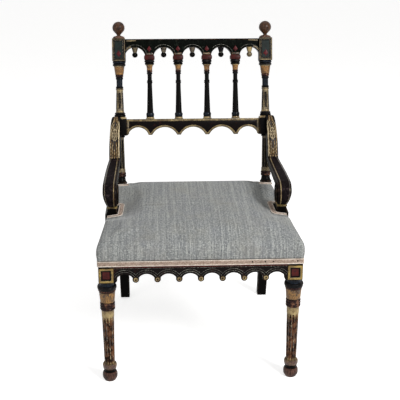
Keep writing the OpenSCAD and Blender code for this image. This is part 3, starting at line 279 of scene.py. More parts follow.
def slubbed_cloth(tree):
    """Grey cotton and linen: uneven warp threads make pale and dark streaks from back to front"""
    place = add(tree, "UVMap", uv_map="threads")
    tone, marks = "#858786", []
    for width, length, low, high, colour, strength in SLUBS:
        marks.append(patches(tree, width, low, high, 3, drawn=(1, width / length, 1), place=place))
        share = add(tree, "Math", {0: marks[-1], 1: strength}, operation="MULTIPLY")
        tone = layered(tree, tone, (share, colour))
    threads = add(tree, "Math", {0: marks[0], 1: marks[2]}, operation="ADD")
    return {
        "Base Color": tone,
        "Roughness": 0.88,
        "IOR": 1.4,
        "Sheen Weight": 0.2,
        "Normal": add(tree, "Bump", {"Height": threads, "Distance": 0.3 * MM, "Strength": 0.7}),
    }


def silk_gimp(name, clean, shaded, soil):
    """Gimp: cream silk wound over cord, gone pinkish and grey with age"""
    def surface(tree):
        soiled = patches(tree, 7, 0.48, 0.72, 5)
        stitches = patches(tree, 2.4, 0.35, 0.65, 3, 0.7)
        return {
            "Base Color": layered(tree, clean, (stitches, shaded), (soiled, soil)),
            "Roughness": 0.8,
            "IOR": 1.4,
            "Sheen Weight": 0.2,
            "Normal": add(tree, "Bump", {"Height": stitches, "Distance": 0.4 * MM, "Strength": 0.8}),
        }
    return finish(name, surface)


FINISHES = {
    "ebony": ebonized_wood("ebonized_beech", "#0b0909", "#2b1e18", 0.0, 0.34, 0.02),
    # Ebonized black made darker still for the rear legs: painted shade for the shadow they stand in
    "shade_black": ebonized_wood("black_with_painted_shade", "#060505", "#120d0b", 0.0, 0.5),
    "edge": ebonized_wood("rubbed_edge", "#18110e", "#4f3b2d", 0.14, 0.45),
    # Black polish tinted blue: the blue is a painted sheen, over a real glossy coat
    "blue_black": ebonized_wood("black_polish_painted_blue_sheen", "#151f2b", "#26303c", 0.05, 0.26, 0.15),
    # Black polish made greyer: the grey is a painted sheen on these rings
    "grey_black": ebonized_wood("black_polish_painted_grey_sheen", "#17171a", "#332f2d", 0.08, 0.34, 0.06),
    "green_black": ebonized_wood("green_black_polish", "#0e120f", "#1e221d", 0.08, 0.5, 0, 0.01),
    "plum": ebonized_wood("red_brown_polish", "#331d1d", "#76523f", 0.12, 0.3, 0.12),
    "plum_black": ebonized_wood("red_black_polish", "#110a0b", "#28130f", 0.06, 0.36, 0.05),
    "arm_top": ebonized_wood("plum_black_arm", "#221c1e", "#3c3234", 0.08, 0.6, 0, 0.01),
    "rubbed": ebonized_wood("rubbed_arm", "#1a1311", "#45322a", 0.08, 0.5, 0.02),
    "shaft": ebonized_wood("rubbed_shaft", "#26170f", "#6a4833", 0.18, 0.4, 0.02),
    "arm_side": ebonized_wood("rubbed_green_black", "#1a1e1b", "#353530", 0.1, 0.62, 0, 0.04),
    "panel_green": painted_wood("green_black_paint", "#101614", "#1c2826"),
    "red": painted_wood("red_paint", "#58171b", "#3a0f12"),
    "dark_red": painted_wood("dark_red_paint", "#4e1614", "#350e0d"),
    "abacus_red": painted_wood("dull_red_paint", "#451512", "#2c0d0b"),
    "gilt": gilded_wood("gold_leaf", "#ab9668", "#6f5a35", "#3c2618", 0.11),
    "gilt_square": gilded_wood("olive_gold_leaf", "#a48a46", "#6d5626", "#3a2814", 0.14),
    "gilt_bell": gilded_wood("warm_gold_leaf", "#a2743a", "#55360f", "#321b0c", 0.18, 0.36),
    "gilt_worn": gilded_wood("rubbed_gold_leaf", "#8f7e58", "#4f422a", "#2a1d16", 0.18),
    "gilt_line": gilded_wood("broken_gold_line", "#948468", "#4a3f2f", "#1a1310", 0.24),
    "gilt_flute": gilded_wood("flute_gilding", "#c3ad86", "#7a6450", "#1c1310", 0.28, 0.36, 0.25),
    "gilt_drum": gilded_wood("scratched_gold_leaf", "#98703b", "#40280f", "#26160a", 0.18, 0.36, 0.4),
    "ankle": gilded_wood("flecked_gilding", "#8f7350", "#503328", "#2e1c1a", 0.2),
    "silver": gilded_wood("silver_leaf", "#a3a295", "#66645a", "#1d1a17", 0.24),
    "carving": finish("gilded_carving", carved_gilding),
    "brown": polished_wood("brown_polish", "#2c1c13", "#5c3f2d", 0.25),
    "dome": polished_wood("rubbed_brown_polish", "#3b2821", "#7d5d4d", 0.3),
    "foot": polished_wood("worn_foot", "#2c1a14", "#63453a", 0.26),
    "beech": finish("bare_beech", sawn_beech),
    "steel": finish("aged_steel", drawn_steel),
    "nail": ebonized_wood("japanned_nail", "#15110f", "#3a2a1c", 0.1, 0.35),
    "cover": finish("slubbed_grey_cloth", slubbed_cloth),
    "braid": silk_gimp("cream_gimp", "#e9dfd2", "#d0c1b3", "#b3a193"),
    "braid_middle": silk_gimp("pinkish_gimp", "#c8b4a6", "#988271", "#826e5f"),
    "jute": woven("jute_webbing", "#5e4a31", "#a58a63", 2.2),
    "hessian": woven("jute_hessian", "#6d573a", "#b29a70", 1.8),
    "black_cloth": woven("black_cotton", "#0b0b0c", "#2a2a2c", 0.9),
}
ORDER = list(FINISHES)


# Shaping


def paint(faces, finish):
    for face in faces:
        face.material_index = ORDER.index(finish)


def put(shape, part, place=None):
    """Adds a finished part to a shape, at its place"""
    if place is not None:
        part.transform(place)
    carrier = bpy.data.meshes.new("carrier")
    part.to_mesh(carrier)
    part.free()
    shape.from_mesh(carrier)
    bpy.data.meshes.remove(carrier)


def settle(shape, name, place=UPRIGHT, nodes=(), mirrored=False, angle=32):
    """Makes the shape a piece of the chair, with only the finishes that it uses"""
    shape.transform(place)
    if mirrored:
        shape.transform(Matrix.Diagonal((-1, 1, 1, 1)))
    bmesh.ops.recalc_face_normals(shape, faces=shape.faces)
    used = sorted({face.material_index for face in shape.faces})
    for face in shape.faces:
        face.material_index = used.index(face.material_index)
    mesh = bpy.data.meshes.new(name)
    shape.to_mesh(mesh)
    shape.free()
    for index in used:
        mesh.materials.append(FINISHES[ORDER[index]])
    mesh.shade_smooth()
    mesh.set_sharp_from_angle(angle=math.radians(angle))
    made = bpy.data.objects.new(name, mesh)
    bpy.context.scene.collection.objects.link(made)
    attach(made, "root")
    if nodes:
        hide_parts(*nodes)
    return made


def stack(steps, start=0.0):
    """Points up a turning; a step is (kind, height, radius, other radius, finish)"""
    points, z, arc = [], start, 8
    for kind, height, first, second, finish in steps:
        for i in range(arc + 1):
            turn = math.pi * i / arc
            if kind == "line":
                radius, rise = first + (second - first) * i / arc, height * i / arc
            elif kind == "bead":
                radius = first + (second - first) * math.sin(turn)
                rise = height * (1 - math.cos(turn)) / 2
            elif kind == "flare":
                radius = first + (second - first) * (1 - math.cos(turn / 2))
                rise = height * math.sin(turn / 2)
            elif kind == "bell":
                radius = first + (second - first) * math.sin(turn / 2)
                rise = height * (1 - math.cos(turn / 2))
            if kind == "line" and 0 < i < arc and height < 20:
                continue
            if points and math.dist(points[-1][:2], (radius, z + rise)) < 0.01:
                points.pop()
            points.append((radius, z + rise, finish))
        z += height
    return [(0, points[0][1], points[0][2]), *points, (0, z, points[-1][2])]


def finer(points, low, high, step):
    """Splits the long bands between two heights into short ones"""
    made = []
    for a, b in zip(points, points[1:]):
        made.append(a)
        if low <= a[1] and b[1] <= high + 0.01 and b[1] - a[1] > step:
            count = math.ceil((b[1] - a[1]) / step)
            for i in range(1, count):
                s = i / count
                made.append((a[0] + (b[0] - a[0]) * s, a[1] + (b[1] - a[1]) * s, a[2]))
    return [*made, points[-1]]


def lathe(points, sides=56):
    """Spins points of (radius, height, finish) round the upright axis"""
    part = bmesh.new()
    verts = [part.verts.new((radius, 0, height)) for radius, height, look in points]
    edges = [part.edges.new(pair) for pair in zip(verts, verts[1:])]
    whole = {"axis": (0, 0, 1), "angle": math.tau, "use_merge": True}
    bmesh.ops.spin(part, geom=verts + edges, steps=sides, **whole)
    middles = [((a[0] + b[0]) / 2, (a[1] + b[1]) / 2, a[2]) for a, b in zip(points, points[1:])]
    for face in part.faces:
        radius = sum(v.co.xy.length for v in face.verts) / len(face.verts)
        height = sum(v.co.z for v in face.verts) / len(face.verts)
        near = min(middles, key=lambda m: (m[0] - radius) ** 2 + (m[1] - height) ** 2)
        face.material_index = ORDER.index(near[2])
    bmesh.ops.remove_doubles(part, verts=part.verts, dist=0.005)
    bmesh.ops.recalc_face_normals(part, faces=part.faces)
    return part


def ease(part, edges, rounding, finish):
    """Rounds off arrises, where the polish is rubbed"""
    made = bmesh.ops.bevel(
        part, geom=edges, offset=rounding, segments=2, profile=0.5, affect="EDGES", material=-1,
        clamp_overlap=True,
    )
    paint(made["faces"], finish)
    part.normal_update()


def block(low, high, finish="ebony", edge="edge", rounding=1.2):
    """A squared piece with its arrises eased, and rubbed there"""
    low, high = Vector(low), Vector(high)
    part = bmesh.new()
    size = Matrix.Diagonal((*(high - low), 1))
    bmesh.ops.create_cube(part, size=1, matrix=shift((low + high) / 2) @ size)
    paint(part.faces, finish)
    ease(part, part.edges[:], rounding, edge)
    return part


def facing(part, direction):
    """The largest face that looks that way"""
    ahead = [f for f in part.faces if f.normal.dot(Vector(direction)) > 0.95]
    return max(ahead, key=lambda f: f.calc_area())


def panel(part, face, rings, field):
    """Steps in from a face's border: each ring is (width, depth, finish)"""
    for width, depth, finish in rings:
        made = bmesh.ops.inset_region(
            part, faces=[face], thickness=width, depth=-depth, use_even_offset=True, use_boundary=True
        )
        paint(made["faces"], finish)
    paint([face], field)


def board(outline, front, back, finish="ebony", edge="edge", rounding=0.9):
    """A sawn board from its front outline of [x, z]; returns it with its front face"""
    part = bmesh.new()
    face = part.faces.new([part.verts.new((x, front, z)) for x, z in outline])
    part.normal_update()
    if face.normal.y > 0:
        face.normal_flip()
    made = bmesh.ops.extrude_face_region(part, geom=[face], use_keep_orig=True)
    moved = [v for v in made["geom"] if isinstance(v, bmesh.types.BMVert)]
    bmesh.ops.translate(part, verts=moved, vec=(0, back - front, 0))
    bmesh.ops.recalc_face_normals(part, faces=part.faces)
    paint(part.faces, finish)
    ease(part, [e for e in part.edges if e.calc_face_angle(0) > math.radians(40)], rounding, edge)
    return part


def loft(rings, finishes, ends=("ebony", "ebony")):
    """Carries a ring of points through the rings that follow; finishes are given round the ring"""
    part = bmesh.new()
    face = part.faces.new([part.verts.new(p) for p in rings[0]])
    paint([face], ends[0])
    for ring in rings[1:]:
        made = bmesh.ops.extrude_face_region(part, geom=[face])
        face = next(f for f in made["geom"] if isinstance(f, bmesh.types.BMFace))
        for vert, place in zip(face.verts, ring):
            vert.co = place
        for loop, finish in zip(face.loops, finishes):
            paint([f for f in loop.edge.link_faces if f is not face], finish)
        paint([face], ends[1])
    return part


def arc_points(centre, radius, start, end, count):
    """Points of [x, z] round an arc, its angles in degrees"""
    turns = [math.radians(start + (end - start) * i / count) for i in range(count + 1)]
    return [(centre[0] + radius * math.cos(a), centre[1] + radius * math.sin(a)) for a in turns]


def moulding(path, width, rise, face_y, finish):
    """A half-round line along a path of [x, z], standing out of a front face"""
    path = [Vector(p) for p in path]
    arch = [(-1, -0.4), (-0.9, 0.5), (-0.45, 1), (0.45, 1), (0.9, 0.5), (1, -0.4)]
    rings = []
    for i, here in enumerate(path):
        back, ahead = path[max(i - 1, 0)], path[min(i + 1, len(path) - 1)]
        first = (here - back).normalized() if (here - back).length else (ahead - here).normalized()
        second = (ahead - here).normalized() if (ahead - here).length else first
        ahead = (first + second).normalized()
        side = ahead.orthogonal() * width / 2 / max(0.45, first.dot(ahead))
        rings.append([(here.x + side.x * a, face_y - out * rise, here.y + side.y * a) for a, out in arch])
    return loft(rings, [finish] * len(arch), (finish, finish))


def bent(a, b, c, d, count):
    """Points along a bend that leaves a towards b and reaches d from c"""
    shares = [(i / count, 1 - i / count) for i in range(count + 1)]
    return [u**3 * a + 3 * u * u * s * b + 3 * u * s * s * c + s**3 * d for s, u in shares]


def dress(node, name):
    """Gives a CAD part its finish"""
    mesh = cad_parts[node].data
    mesh.materials.clear()
    mesh.materials.append(FINISHES[name])
    for face in mesh.polygons:
        face.material_index = 0


# Front legs

SHAFT_FOOT, SHAFT_HEAD, NECK_HEAD = 55, 200, 222
FLUTES = 12
LEG_BLOCK_LOW, LEG_BLOCK_HALF, LEG_PANEL_TOP = 308, 21, 352

LEG_STEPS = [
    ("bell", 5, 13.5, 17.5, "foot"),
    ("bead", 23, 17.2, 21.5, "foot"),
    ("bead", 10, 16.6, 14.6, "ebony"),
    ("line", 1.5, 18.6, 18.6, "edge"),
    ("bead", 14, 17.6, 20.2, "ankle"),
    ("line", 1.5, 16.6, 16.4, "gilt_worn"),
    ("line", 145, 14.75, 16.75, "shaft"),
    ("line", 22, 17.4, 17.9, "gilt"),
    ("bead", 7.6, 18.6, 21, "plum"),
    ("bead", 7.7, 18.6, 21, "plum"),
    ("bead", 7.7, 18.6, 21, "plum"),
    ("line", 2, 19.4, 19.6, "ebony"),
    ("line", 30, 20, 22.8, "gilt_drum"),
    ("line", 2, 22.8, 23, "edge"),
    ("bead", 5, 23.4, 24.8, "plum"),
    ("bead", 12, 23.8, 26.8, "grey_black"),
    ("bead", 12, 20.8, 18.8, "blue_black"),
]


def flute(part, low, high, count, depth, ridge, hollow):
    """Cuts hollows up a shaft and gilds what is left between them"""
    for vert in part.verts:
        if low - 0.1 <= vert.co.z <= high + 0.1 and vert.co.xy.length > 5:
            swing = math.cos(count * math.atan2(vert.co.y, vert.co.x))
            ends = min(1, (vert.co.z - low) / 6, (high - vert.co.z) / 6)
            cut = depth * max(0, swing + 0.25) / 1.25 * max(0, ends)
            vert.co.xy *= 1 - cut / vert.co.xy.length
    for face in part.faces:
        middle = face.calc_center_median()
        if low <= middle.z <= high and middle.xy.length > 5:
            swing = math.cos(count * math.atan2(middle.y, middle.x))
            worn = noise.noise(Vector((middle.x, middle.y, middle.z * 0.5)) * 0.12)
            paint([face], ridge if swing < -0.75 + worn * 0.9 else hollow)


def front_leg(side, name):
    shape = bmesh.new()
    turned = lathe(finer(stack(LEG_STEPS), SHAFT_FOOT - 1, NECK_HEAD + 1, 4), 96)
    flute(turned, SHAFT_FOOT, SHAFT_HEAD, FLUTES, 2.0, "gilt_flute", "shaft")
    for face in turned.faces:
        middle = face.calc_center_median()
        wave = math.cos(FLUTES * math.atan2(middle.y, middle.x))
        if SHAFT_HEAD - 16 < middle.z < SHAFT_HEAD and wave < 0.1 + (middle.z - SHAFT_HEAD) / 16:
            paint([face], "gilt")
        if SHAFT_FOOT < middle.z < SHAFT_FOOT + 10 and wave < -0.2 - (middle.z - SHAFT_FOOT) / 12:
            paint([face], "gilt")
    put(shape, turned)
    half = LEG_BLOCK_HALF
    put(shape, block((-half, -half, LEG_PANEL_TOP), (half, half, RAIL_TOP), rounding=1.5))
    squared = block((-half, -half, LEG_BLOCK_LOW), (half, half, LEG_PANEL_TOP), "plum_black")
    rings = [(5.2, 0, "gilt_square"), (0.8, 0.5, "gilt_worn"), (4.2, 1.8, "ebony")]
    panel(squared, facing(squared, (0, -1, 0)), rings, "dark_red")
    put(shape, squared)
    place = UPRIGHT @ shift((side * FRONT_X, 0, 0))
    settle(shape, "leg_" + name, place, ["front_leg_" + name])


for side, name in TWO_SIDES:
    front_leg(side, name)

# Back posts

ARM_BLOCK, ARM_BLOCK_TOP = 152, 212
SLOT_LOW, SLOT_HIGH = 228, 298
TOP_BLOCK, TOP_BLOCK_TOP = 390, 462
FINIAL_FOOT, BALL_R = 471, 19.75
POST_HALF = 21
KNEE_Y, KNEE_Z, FOOT_Y = 480.585, 300, 557

POST_LOW_STEPS = [
    ("line", 18, 16.5, 18.5, "ebony"),
    ("line", 3, 19.5, 19.5, "edge"),
    ("bell", 17, 19.4, 13.8, "ebony"),
    ("bead", 7, 14.6, 16.6, "plum"),
    ("bead", 8, 14.6, 16.4, "plum"),
    ("flare", 12, 14.6, 13.8, "gilt_worn"),
    ("line", 94, 13.2, 11.2, "ebony"),
    ("line", 7, 11.4, 11.4, "gilt_worn"),
    ("bead", 6, 12, 15, "ebony"),
]
POST_HIGH_STEPS = [
    ("bead", 8, 15.6, 18.4, "ebony"),
    ("bead", 6, 14.2, 17.2, "grey_black"),
    ("line", 2, 14.8, 13.6, "gilt_worn"),
    ("line", 3, 13.4, 13.2, "gilt"),
    ("line", 64, 13, 10.8, "gilt_worn"),
    ("line", 3, 10.8, 10.8, "gilt"),
    ("bead", 5, 10.8, 12.4, "gilt_worn"),
    ("bead", 7, 10.4, 12, "ebony"),
    ("line", 22, 9.75, 9.75, "blue_black"),
    ("bead", 8, 9.9, 11.9, "grey_black"),
    ("bead", 8, 10.8, 12.9, "plum"),
    ("line", 24, 13.4, 16.6, "gilt_bell"),
    ("line", 3, 17.2, 17.4, "gilt_worn"),
    ("bead", 7.5, 17.4, 20.8, "grey_black"),
    ("bead", 7.5, 18, 21, "blue_black"),
]
DOME_STEPS = [
    ("line", 1.5, 20.2, 20.2, "edge"),
    ("bead", 2, 19, 19.9, "dome"),
    ("flare", 6.5, 19, 8.6, "dome"),
]


def leg_line(s):
    """The curved middle line of a back leg, from the turning at 0 to the floor at 1"""
    u = 1 - s
    return (
        u * u * TURNING_Y + 2 * s * u * KNEE_Y + s * s * FOOT_Y,
        u * u * TURNING_Z + 2 * s * u * KNEE_Z,
    )


def leg_depth(s):
    return 36 - 6 * s


def sabre_leg():
    """The square leg, sawn to a curve, its arrises eased, its faces darker than the other black as painted
    shade
    """
    start, rings, rounding = 0.049, [], 2.2
    corners = [(-1, -1, 0, 1), (-1, -1, 1, 0), (1, -1, 1, 0), (1, -1, 0, 1)]
    corners += [(-x, -d, *eased) for x, d, *eased in corners]
    for i in range(25):
        s = start + (1 - start) * i / 24
        y, z = leg_line(s)
        deep, wide = leg_depth(s) / 2, 17 - 2 * max(0, 1 - z / KNEE_Z)
        rings.append([
            (x * (wide - sx * rounding), y + d * (deep - sd * rounding), max(z, 0))
            for x, d, sx, sd in corners
        ])
    return loft(rings, ["edge", "shade_black"] * 4)


def slots(part, low, high, count, half_width, depth):
    """Round-ended slots cut up a shaft, dark inside with a pale reed in the middle"""
    def inside(place, extra=0.0):
        turn = math.atan2(place.x, -place.y)
        near = turn - round(turn * count / math.tau) * math.tau / count
        across = abs(near) * place.xy.length
        over = max(0, low + half_width - place.z, place.z - (high - half_width))
        return half_width + extra - math.hypot(across, over), across

    for vert in part.verts:
        if vert.co.xy.length > 5 and low - 2 < vert.co.z < high + 2:
            room, across = inside(vert.co)
            sink = max(0, min(1, room / 0.8))
            reed = 0.7 * max(0, 1 - across / 1.1)
            vert.co.xy *= 1 - depth * max(0, sink - reed) / vert.co.xy.length
    for face in part.faces:
        middle = face.calc_center_median()
        if middle.xy.length > 5 and low - 2 < middle.z < high + 2:
            room, across = inside(middle, 0.3)
            if room > 0:
                paint([face], "gilt_line" if across < 0.8 else "plum_black")


def spade(scale, y):
    """A small painted spade: a diamond on a foot"""
    half = [(0, 9), (2.2, 5), (5.4, 0.8), (6.8, -2.2), (5.8, -4.6), (3.2, -5), (1.4, -4.2), (2.8, -8.6)]
    outline = half + [(-x, z) for x, z in reversed(half[1:])]
    return board([(x * scale, z * scale) for x, z in outline], y - 0.8, y + 0.6, "red", "red", 0.25)


def back_post(side, name):
    shape = bmesh.new()
    put(shape, sabre_leg())
    low = lathe(stack(POST_LOW_STEPS, -20), 72)
    for face in low.faces:
        middle = face.calc_center_median()
        if 48 < middle.z < 134 and math.cos(10 * math.atan2(middle.y, middle.x)) > 0.72:
            paint([face], "gilt_worn")
    put(shape, low, LEAN)
    half = POST_HALF
    arm_block = block((-half, -half, ARM_BLOCK), (half, half, ARM_BLOCK_TOP - 6), rounding=1.4)
    put(shape, arm_block, LEAN)
    inside, low = half - 0.3, ARM_BLOCK_TOP - 9
    crown = block((-inside, -inside, low), (inside, inside, ARM_BLOCK_TOP), "gilt_worn", "gilt", 3.4)
    put(shape, crown, LEAN)
    high = lathe(finer(stack(POST_HIGH_STEPS, ARM_BLOCK_TOP), SLOT_LOW + 5, SLOT_HIGH - 3, 1.4), 108)
    slots(high, SLOT_LOW + 8, SLOT_HIGH - 8, 6, 3.6, 1.5)
    put(shape, high, LEAN)
    top = block((-half, -half, TOP_BLOCK), (half, half, TOP_BLOCK_TOP), rounding=1.4)
    rings = [(1.8, 0, "gilt_worn"), (3.4, 0, "ebony"), (1.0, -0.5, "gilt_line"), (1.8, 2.6, "ebony")]
    for direction in ((0, -1, 0), (side, 0, 0)):
        panel(top, facing(top, direction), rings, "panel_green")
    put(shape, top, LEAN)
    put(shape, spade(1.15, -half + 2.1), LEAN @ shift((0, 0, TOP_BLOCK + 25)))
    low, high, far = TOP_BLOCK + 2.4, TOP_BLOCK_TOP - 2, side * (half - 2.2)
    for line in ([(-half + 1.2, low), (half - 1.2, low)], [(far, low), (far, high)]):
        put(shape, moulding(line, 3.6, 0.6, -half, "gilt_worn"), LEAN)
    put(shape, lathe(stack(DOME_STEPS, TOP_BLOCK_TOP - 1), 64), LEAN)
    place = UPRIGHT @ shift((side * REAR_X, 0, 0))
    settle(shape, "post_" + name, place, ["rear_post_" + name])


# Points of (radius, height) up the finial's stem, from its peg
STEM = [(0, -18), (4, -18), (4, 0), (7.6, 0), (7.8, 1.2), (5.6, 2.2), (5.8, 3.6), (9.6, 8), (14.4, 13)]

for side, name in TWO_SIDES:
    back_post(side, name)
    centre = FINIAL_FOOT + 26
    ball = arc_points((0, centre), BALL_R, -26, 88, 20) + [(0, centre + BALL_R)]
    turning = [(r, z, "brown") for r, z in [(r, FINIAL_FOOT + rise) for r, rise in STEM] + ball]
    place = LEANED @ shift((side * REAR_X, 0, 0))
    settle(lathe(turning, 64), "finial_ball_" + name, place, ["finial_" + name])

# Back rails

PITCH = 92.4
COLUMNS = [PITCH * (k - 1.5) for k in range(4)]
BAYS = [PITCH * (k - 2) for k in range(5)]
INNER_X = REAR_X - POST_HALF
CREST_TOP, CREST_CROWN, CREST_SPRING, CREST_CENTRE, ARCH_R = 460, 435, 407.3, 402, 33
CREST_HALF, MID_HALF = 13, 10
MID_TOP, MID_LOW, MID_WAIST, CUSP = 204.5, 153, 178, 12


def crest_outline():
    points = [(-INNER_X, CREST_TOP)]
    low = math.degrees(math.asin((CREST_SPRING - CREST_CENTRE) / ARCH_R))
    for k, x in enumerate(BAYS):
        first, last = 180 - low, low
        if k == 0:
            first = math.degrees(math.acos((-INNER_X - x) / ARCH_R))
        if k == len(BAYS) - 1:
            last = math.degrees(math.acos((INNER_X - x) / ARCH_R))
        points += arc_points((x, CREST_CENTRE), ARCH_R, first, last, 28)
    return points + [(INNER_X, CREST_TOP)]


def crest_rail():
    """The top rail: arches cut through it, thin silvered lines over them, and painted spades between"""
    shape = bmesh.new()
    rail = board(crest_outline(), -CREST_HALF, CREST_HALF)
    paint([facing(rail, (0, -1, 0))], "green_black")
    put(shape, rail)
    face = -CREST_HALF
    for x in BAYS:
        line = arc_points((x, CREST_CENTRE), ARCH_R + 6.6, 20, 136, 30)
        put(shape, moulding([p for p in line if abs(p[0]) < INNER_X], 1.4, 0.7, face, "silver"))
    put(shape, moulding([(-INNER_X, CREST_TOP - 2.2), (INNER_X, CREST_TOP - 2.2)], 2, 0.7, face, "edge"))
    for x in COLUMNS:
        put(shape, spade(1.0, face), shift((x, 0, CREST_SPRING + 22)))
        low, high = (x - 11.4, face - 1.2, CREST_SPRING + 2.6), (x + 11.4, face + 0.5, CREST_SPRING + 8.2)
        put(shape, block(low, high, "gilt_line", "gilt_bell", 0.6))
    for way in (-1, 1):
        worn = arc_points((way * BAYS[4], CREST_CENTRE), ARCH_R + 3, 90 - way * 56, 90 - way * 20, 14)
        put(shape, moulding(worn, 4.6, 0.6, face, "gilt_worn"))
        patch = [(way * (INNER_X - 4), CREST_TOP - 6), (way * (INNER_X - 34), CREST_TOP - 4.4)]
        put(shape, moulding(patch, 4.4, 0.4, face, "gilt_worn"))
    settle(shape, "crest_arcade", LEANED, ["crest_rail"])


DROP_FALL = 33.2


def drop_steps(bell, ball):
    return [
        ("bell", 8.6, 0.5, 9, ball),
        ("flare", 6.2, 9, 5.2, ball),
        ("line", 1.4, 5.8, 6, "silver"),
        ("line", 12.4, 6.2, 9.8, bell),
        ("line", 2.6, 9.8, 10, bell),
        ("line", 6, 5, 5, "ebony"),
    ]


def crest_drops():
    """Turned drops under the crowns of the arches, each rubbed in its own way"""
    shape = bmesh.new()
    bells = ["gilt_worn", "gilt_line", "gilt_line", "grey_black", "gilt"]
    for x, bell in zip(BAYS, bells):
        steps = drop_steps(bell, "gilt_worn" if bell == "gilt" else "ebony")
        put(shape, lathe(stack(steps, CREST_CROWN - DROP_FALL), 32), shift((x, 0, 0)))
    settle(shape, "arch_drops", LEANED, ["crest_drops"])


COLUMN_STEPS = [
    ("line", 2, 14, 14.2, "gilt_worn"),
    ("bell", 4, 13.8, 12.4, "gilt"),
    ("bead", 3, 11.6, 12.6, "ebony"),
    ("bead", 11, 11.4, 13, "blue_black"),
    ("line", 94.8, 10.5, 7.4, "ebony"),
    ("bead", 5, 7.3, 9.2, "grey_black"),
    ("bead", 5, 7.3, 9, "ebony"),
    ("line", 19, 6.9, 6.9, "ebony"),
    ("bead", 6.5, 7.2, 9.2, "grey_black"),
    ("bead", 6.5, 7.2, 9.4, "plum"),
    ("flare", 15, 8.6, 11.6, "gilt_bell"),
    ("line", 2, 12, 12.2, "gilt"),
    ("bead", 7.5, 12, 15.2, "ebony"),
    ("bead", 7.5, 13, 16.4, "grey_black"),
]


def colonnette(k):
    """A turned column: gilt foot and bell, and a dark red abacus that is wider at its middle"""
    shape = bmesh.new()
    column = lathe(stack(COLUMN_STEPS, MID_TOP), 48)
    flute(column, MID_TOP + 22, MID_TOP + 113, 8, 0.5, "ebony", "ebony")
    put(shape, column)
    low, high = CREST_SPRING - 14, CREST_SPRING + 2
    put(shape, block((-17, -17, low), (17, 17, high), "abacus_red", "abacus_red", 4.6))
    put(shape, block((-14, -14, low - 2.5), (14, 14, low + 1), rounding=0.6))
    place = LEANED @ shift((COLUMNS[k], 0, 0))
    settle(shape, f"column_{k + 1}", place, [f"colonnette_{k + 1}"])


def mid_arches(inside):
    """Points along the five arches and the tips between them, that far inside the rail's lower edge"""
    end, rise = INNER_X - CUSP / 4, MID_WAIST - MID_LOW
    stops = [-end - CUSP / 2, *COLUMNS, end + CUSP / 2]
    points = []
    for before, after in zip(stops, stops[1:]):
        half = (after - before - CUSP) / 2
        radius = (half * half + rise * rise) / (2 * rise)
        centre = ((before + after) / 2, MID_WAIST - radius)
        start = math.degrees(math.asin((radius - rise + inside) / (radius + inside)))
        points += arc_points(centre, radius + inside, 180 - start, start, 26)
    return points


def mid_outline():
    """Round the middle rail: flat along the top, and five arches between cusps below"""
    left, right = [[(x, MID_TOP), (x, MID_LOW)] for x in (-INNER_X, INNER_X)]
    return left + mid_arches(0) + right[::-1]


def mid_rail():
    """The middle rail: a red-black field in a gilt border of two ridges with a dark line between"""
    shape = bmesh.new()
    rail = board(mid_outline(), -MID_HALF, MID_HALF, "ebony", "gilt_worn", 0.7)
    paint([facing(rail, (0, -1, 0))], "plum_black")
    put(shape, rail)
    face = -MID_HALF
    ridges = ((3.3, 6.4, 0.4, "gilt_worn"), (1.3, 1.7, 1.1, "gilt_worn"), (5.4, 2.1, 1.1, "gilt"))
    for inside, width, rise, look in ridges:
        line = [p for p in mid_arches(inside) if abs(p[0]) < INNER_X - 1]
        put(shape, moulding(line, width, rise, face, look))
    end = INNER_X - 0.5
    low, high = (-end, face - 0.7, MID_TOP - 7.6), (end, -face, MID_TOP + 0.4)
    put(shape, block(low, high, "gilt_worn", "gilt_worn", 0.9))
    put(shape, moulding([(-end, MID_TOP - 4), (end, MID_TOP - 4)], 2.4, 0.9, face - 0.6, "gilt"))
    for way in (-1, 1):
        x = way * (INNER_X - 4)
        low, high = (x - 3.6, face - 0.5, MID_LOW + 3), (x + 3.6, face + 1.6, MID_TOP - 6)
        put(shape, block(low, high, "gilt_worn", "gilt_worn", 0.5))
    settle(shape, "lower_arcade", LEANED, ["mid_rail"])


crest_rail()
crest_drops()
for k in range(4):
    colonnette(k)
mid_rail()

# Front arcade

ARCADE_HALF, ARCADE_TOP, ARCADE_FRONT, ARCADE_BACK = 238, 373, -19, -7
ARCHES, ARCH_PITCH, ARCH_Z, ARCADE_R = 8, 59.5, 307.4, 25.6
DROP_Z, DROP_R = 316.5, 9
DROPS = [-ARCADE_HALF + k * ARCH_PITCH for k in range(1, ARCHES)]
# Points of (radius, height, finish) round the rim on a drop, and up a gilt flower
RING = [
    (0, 0, "ebony"), (8.6, 0, "ebony"), (8.6, 0.6, "edge"), (8, 1.1, "edge"), (6.9, 1.1, "ebony"),
    (6.4, 0.5, "ebony"), (0, 0.5, "ebony"),
]
FLOWER = [
    (0, 0, "gilt"), (6.3, 0, "gilt"), (6.4, 0.9, "gilt"), (5.4, 2, "gilt"), (4, 2.4, "gilt"),
    (2.7, 1.9, "gilt_worn"), (2.2, 1.5, "ebony"), (1.8, 2.2, "ebony"), (0.9, 2.7, "ebony"),
    (0, 2.8, "ebony"),
]


def arcade_outline():
    """Round the board: straight above, and arches between round drops below"""
    apart = Vector((ARCH_PITCH / 2, DROP_Z - ARCH_Z))
    along = (apart.length_squared + ARCADE_R**2 - DROP_R**2) / (2 * apart.length)
    off = math.sqrt(ARCADE_R**2 - along**2)
    ahead = apart.normalized()
    meet = ahead * along + Vector((-ahead.y, ahead.x)) * off
    arch_end = math.degrees(math.atan2(meet.y, meet.x))
    drop_end = math.degrees(math.atan2(meet.y - apart.y, meet.x - apart.x))
    points = [(-ARCADE_HALF, ARCADE_TOP)]
    for k in range(ARCHES + 1):
        x = -ARCADE_HALF + k * ARCH_PITCH
        first = drop_end if k else 270
        last = 540 - drop_end if k < ARCHES else 270
        points += arc_points((x, DROP_Z), DROP_R, first, last, 14 if 0 < k < ARCHES else 7)
        if k < ARCHES:
            points += arc_points((x + ARCH_PITCH / 2, ARCH_Z), ARCADE_R, 180 - arch_end, arch_end, 22)[1:-1]
    return points + [(ARCADE_HALF, ARCADE_TOP)]


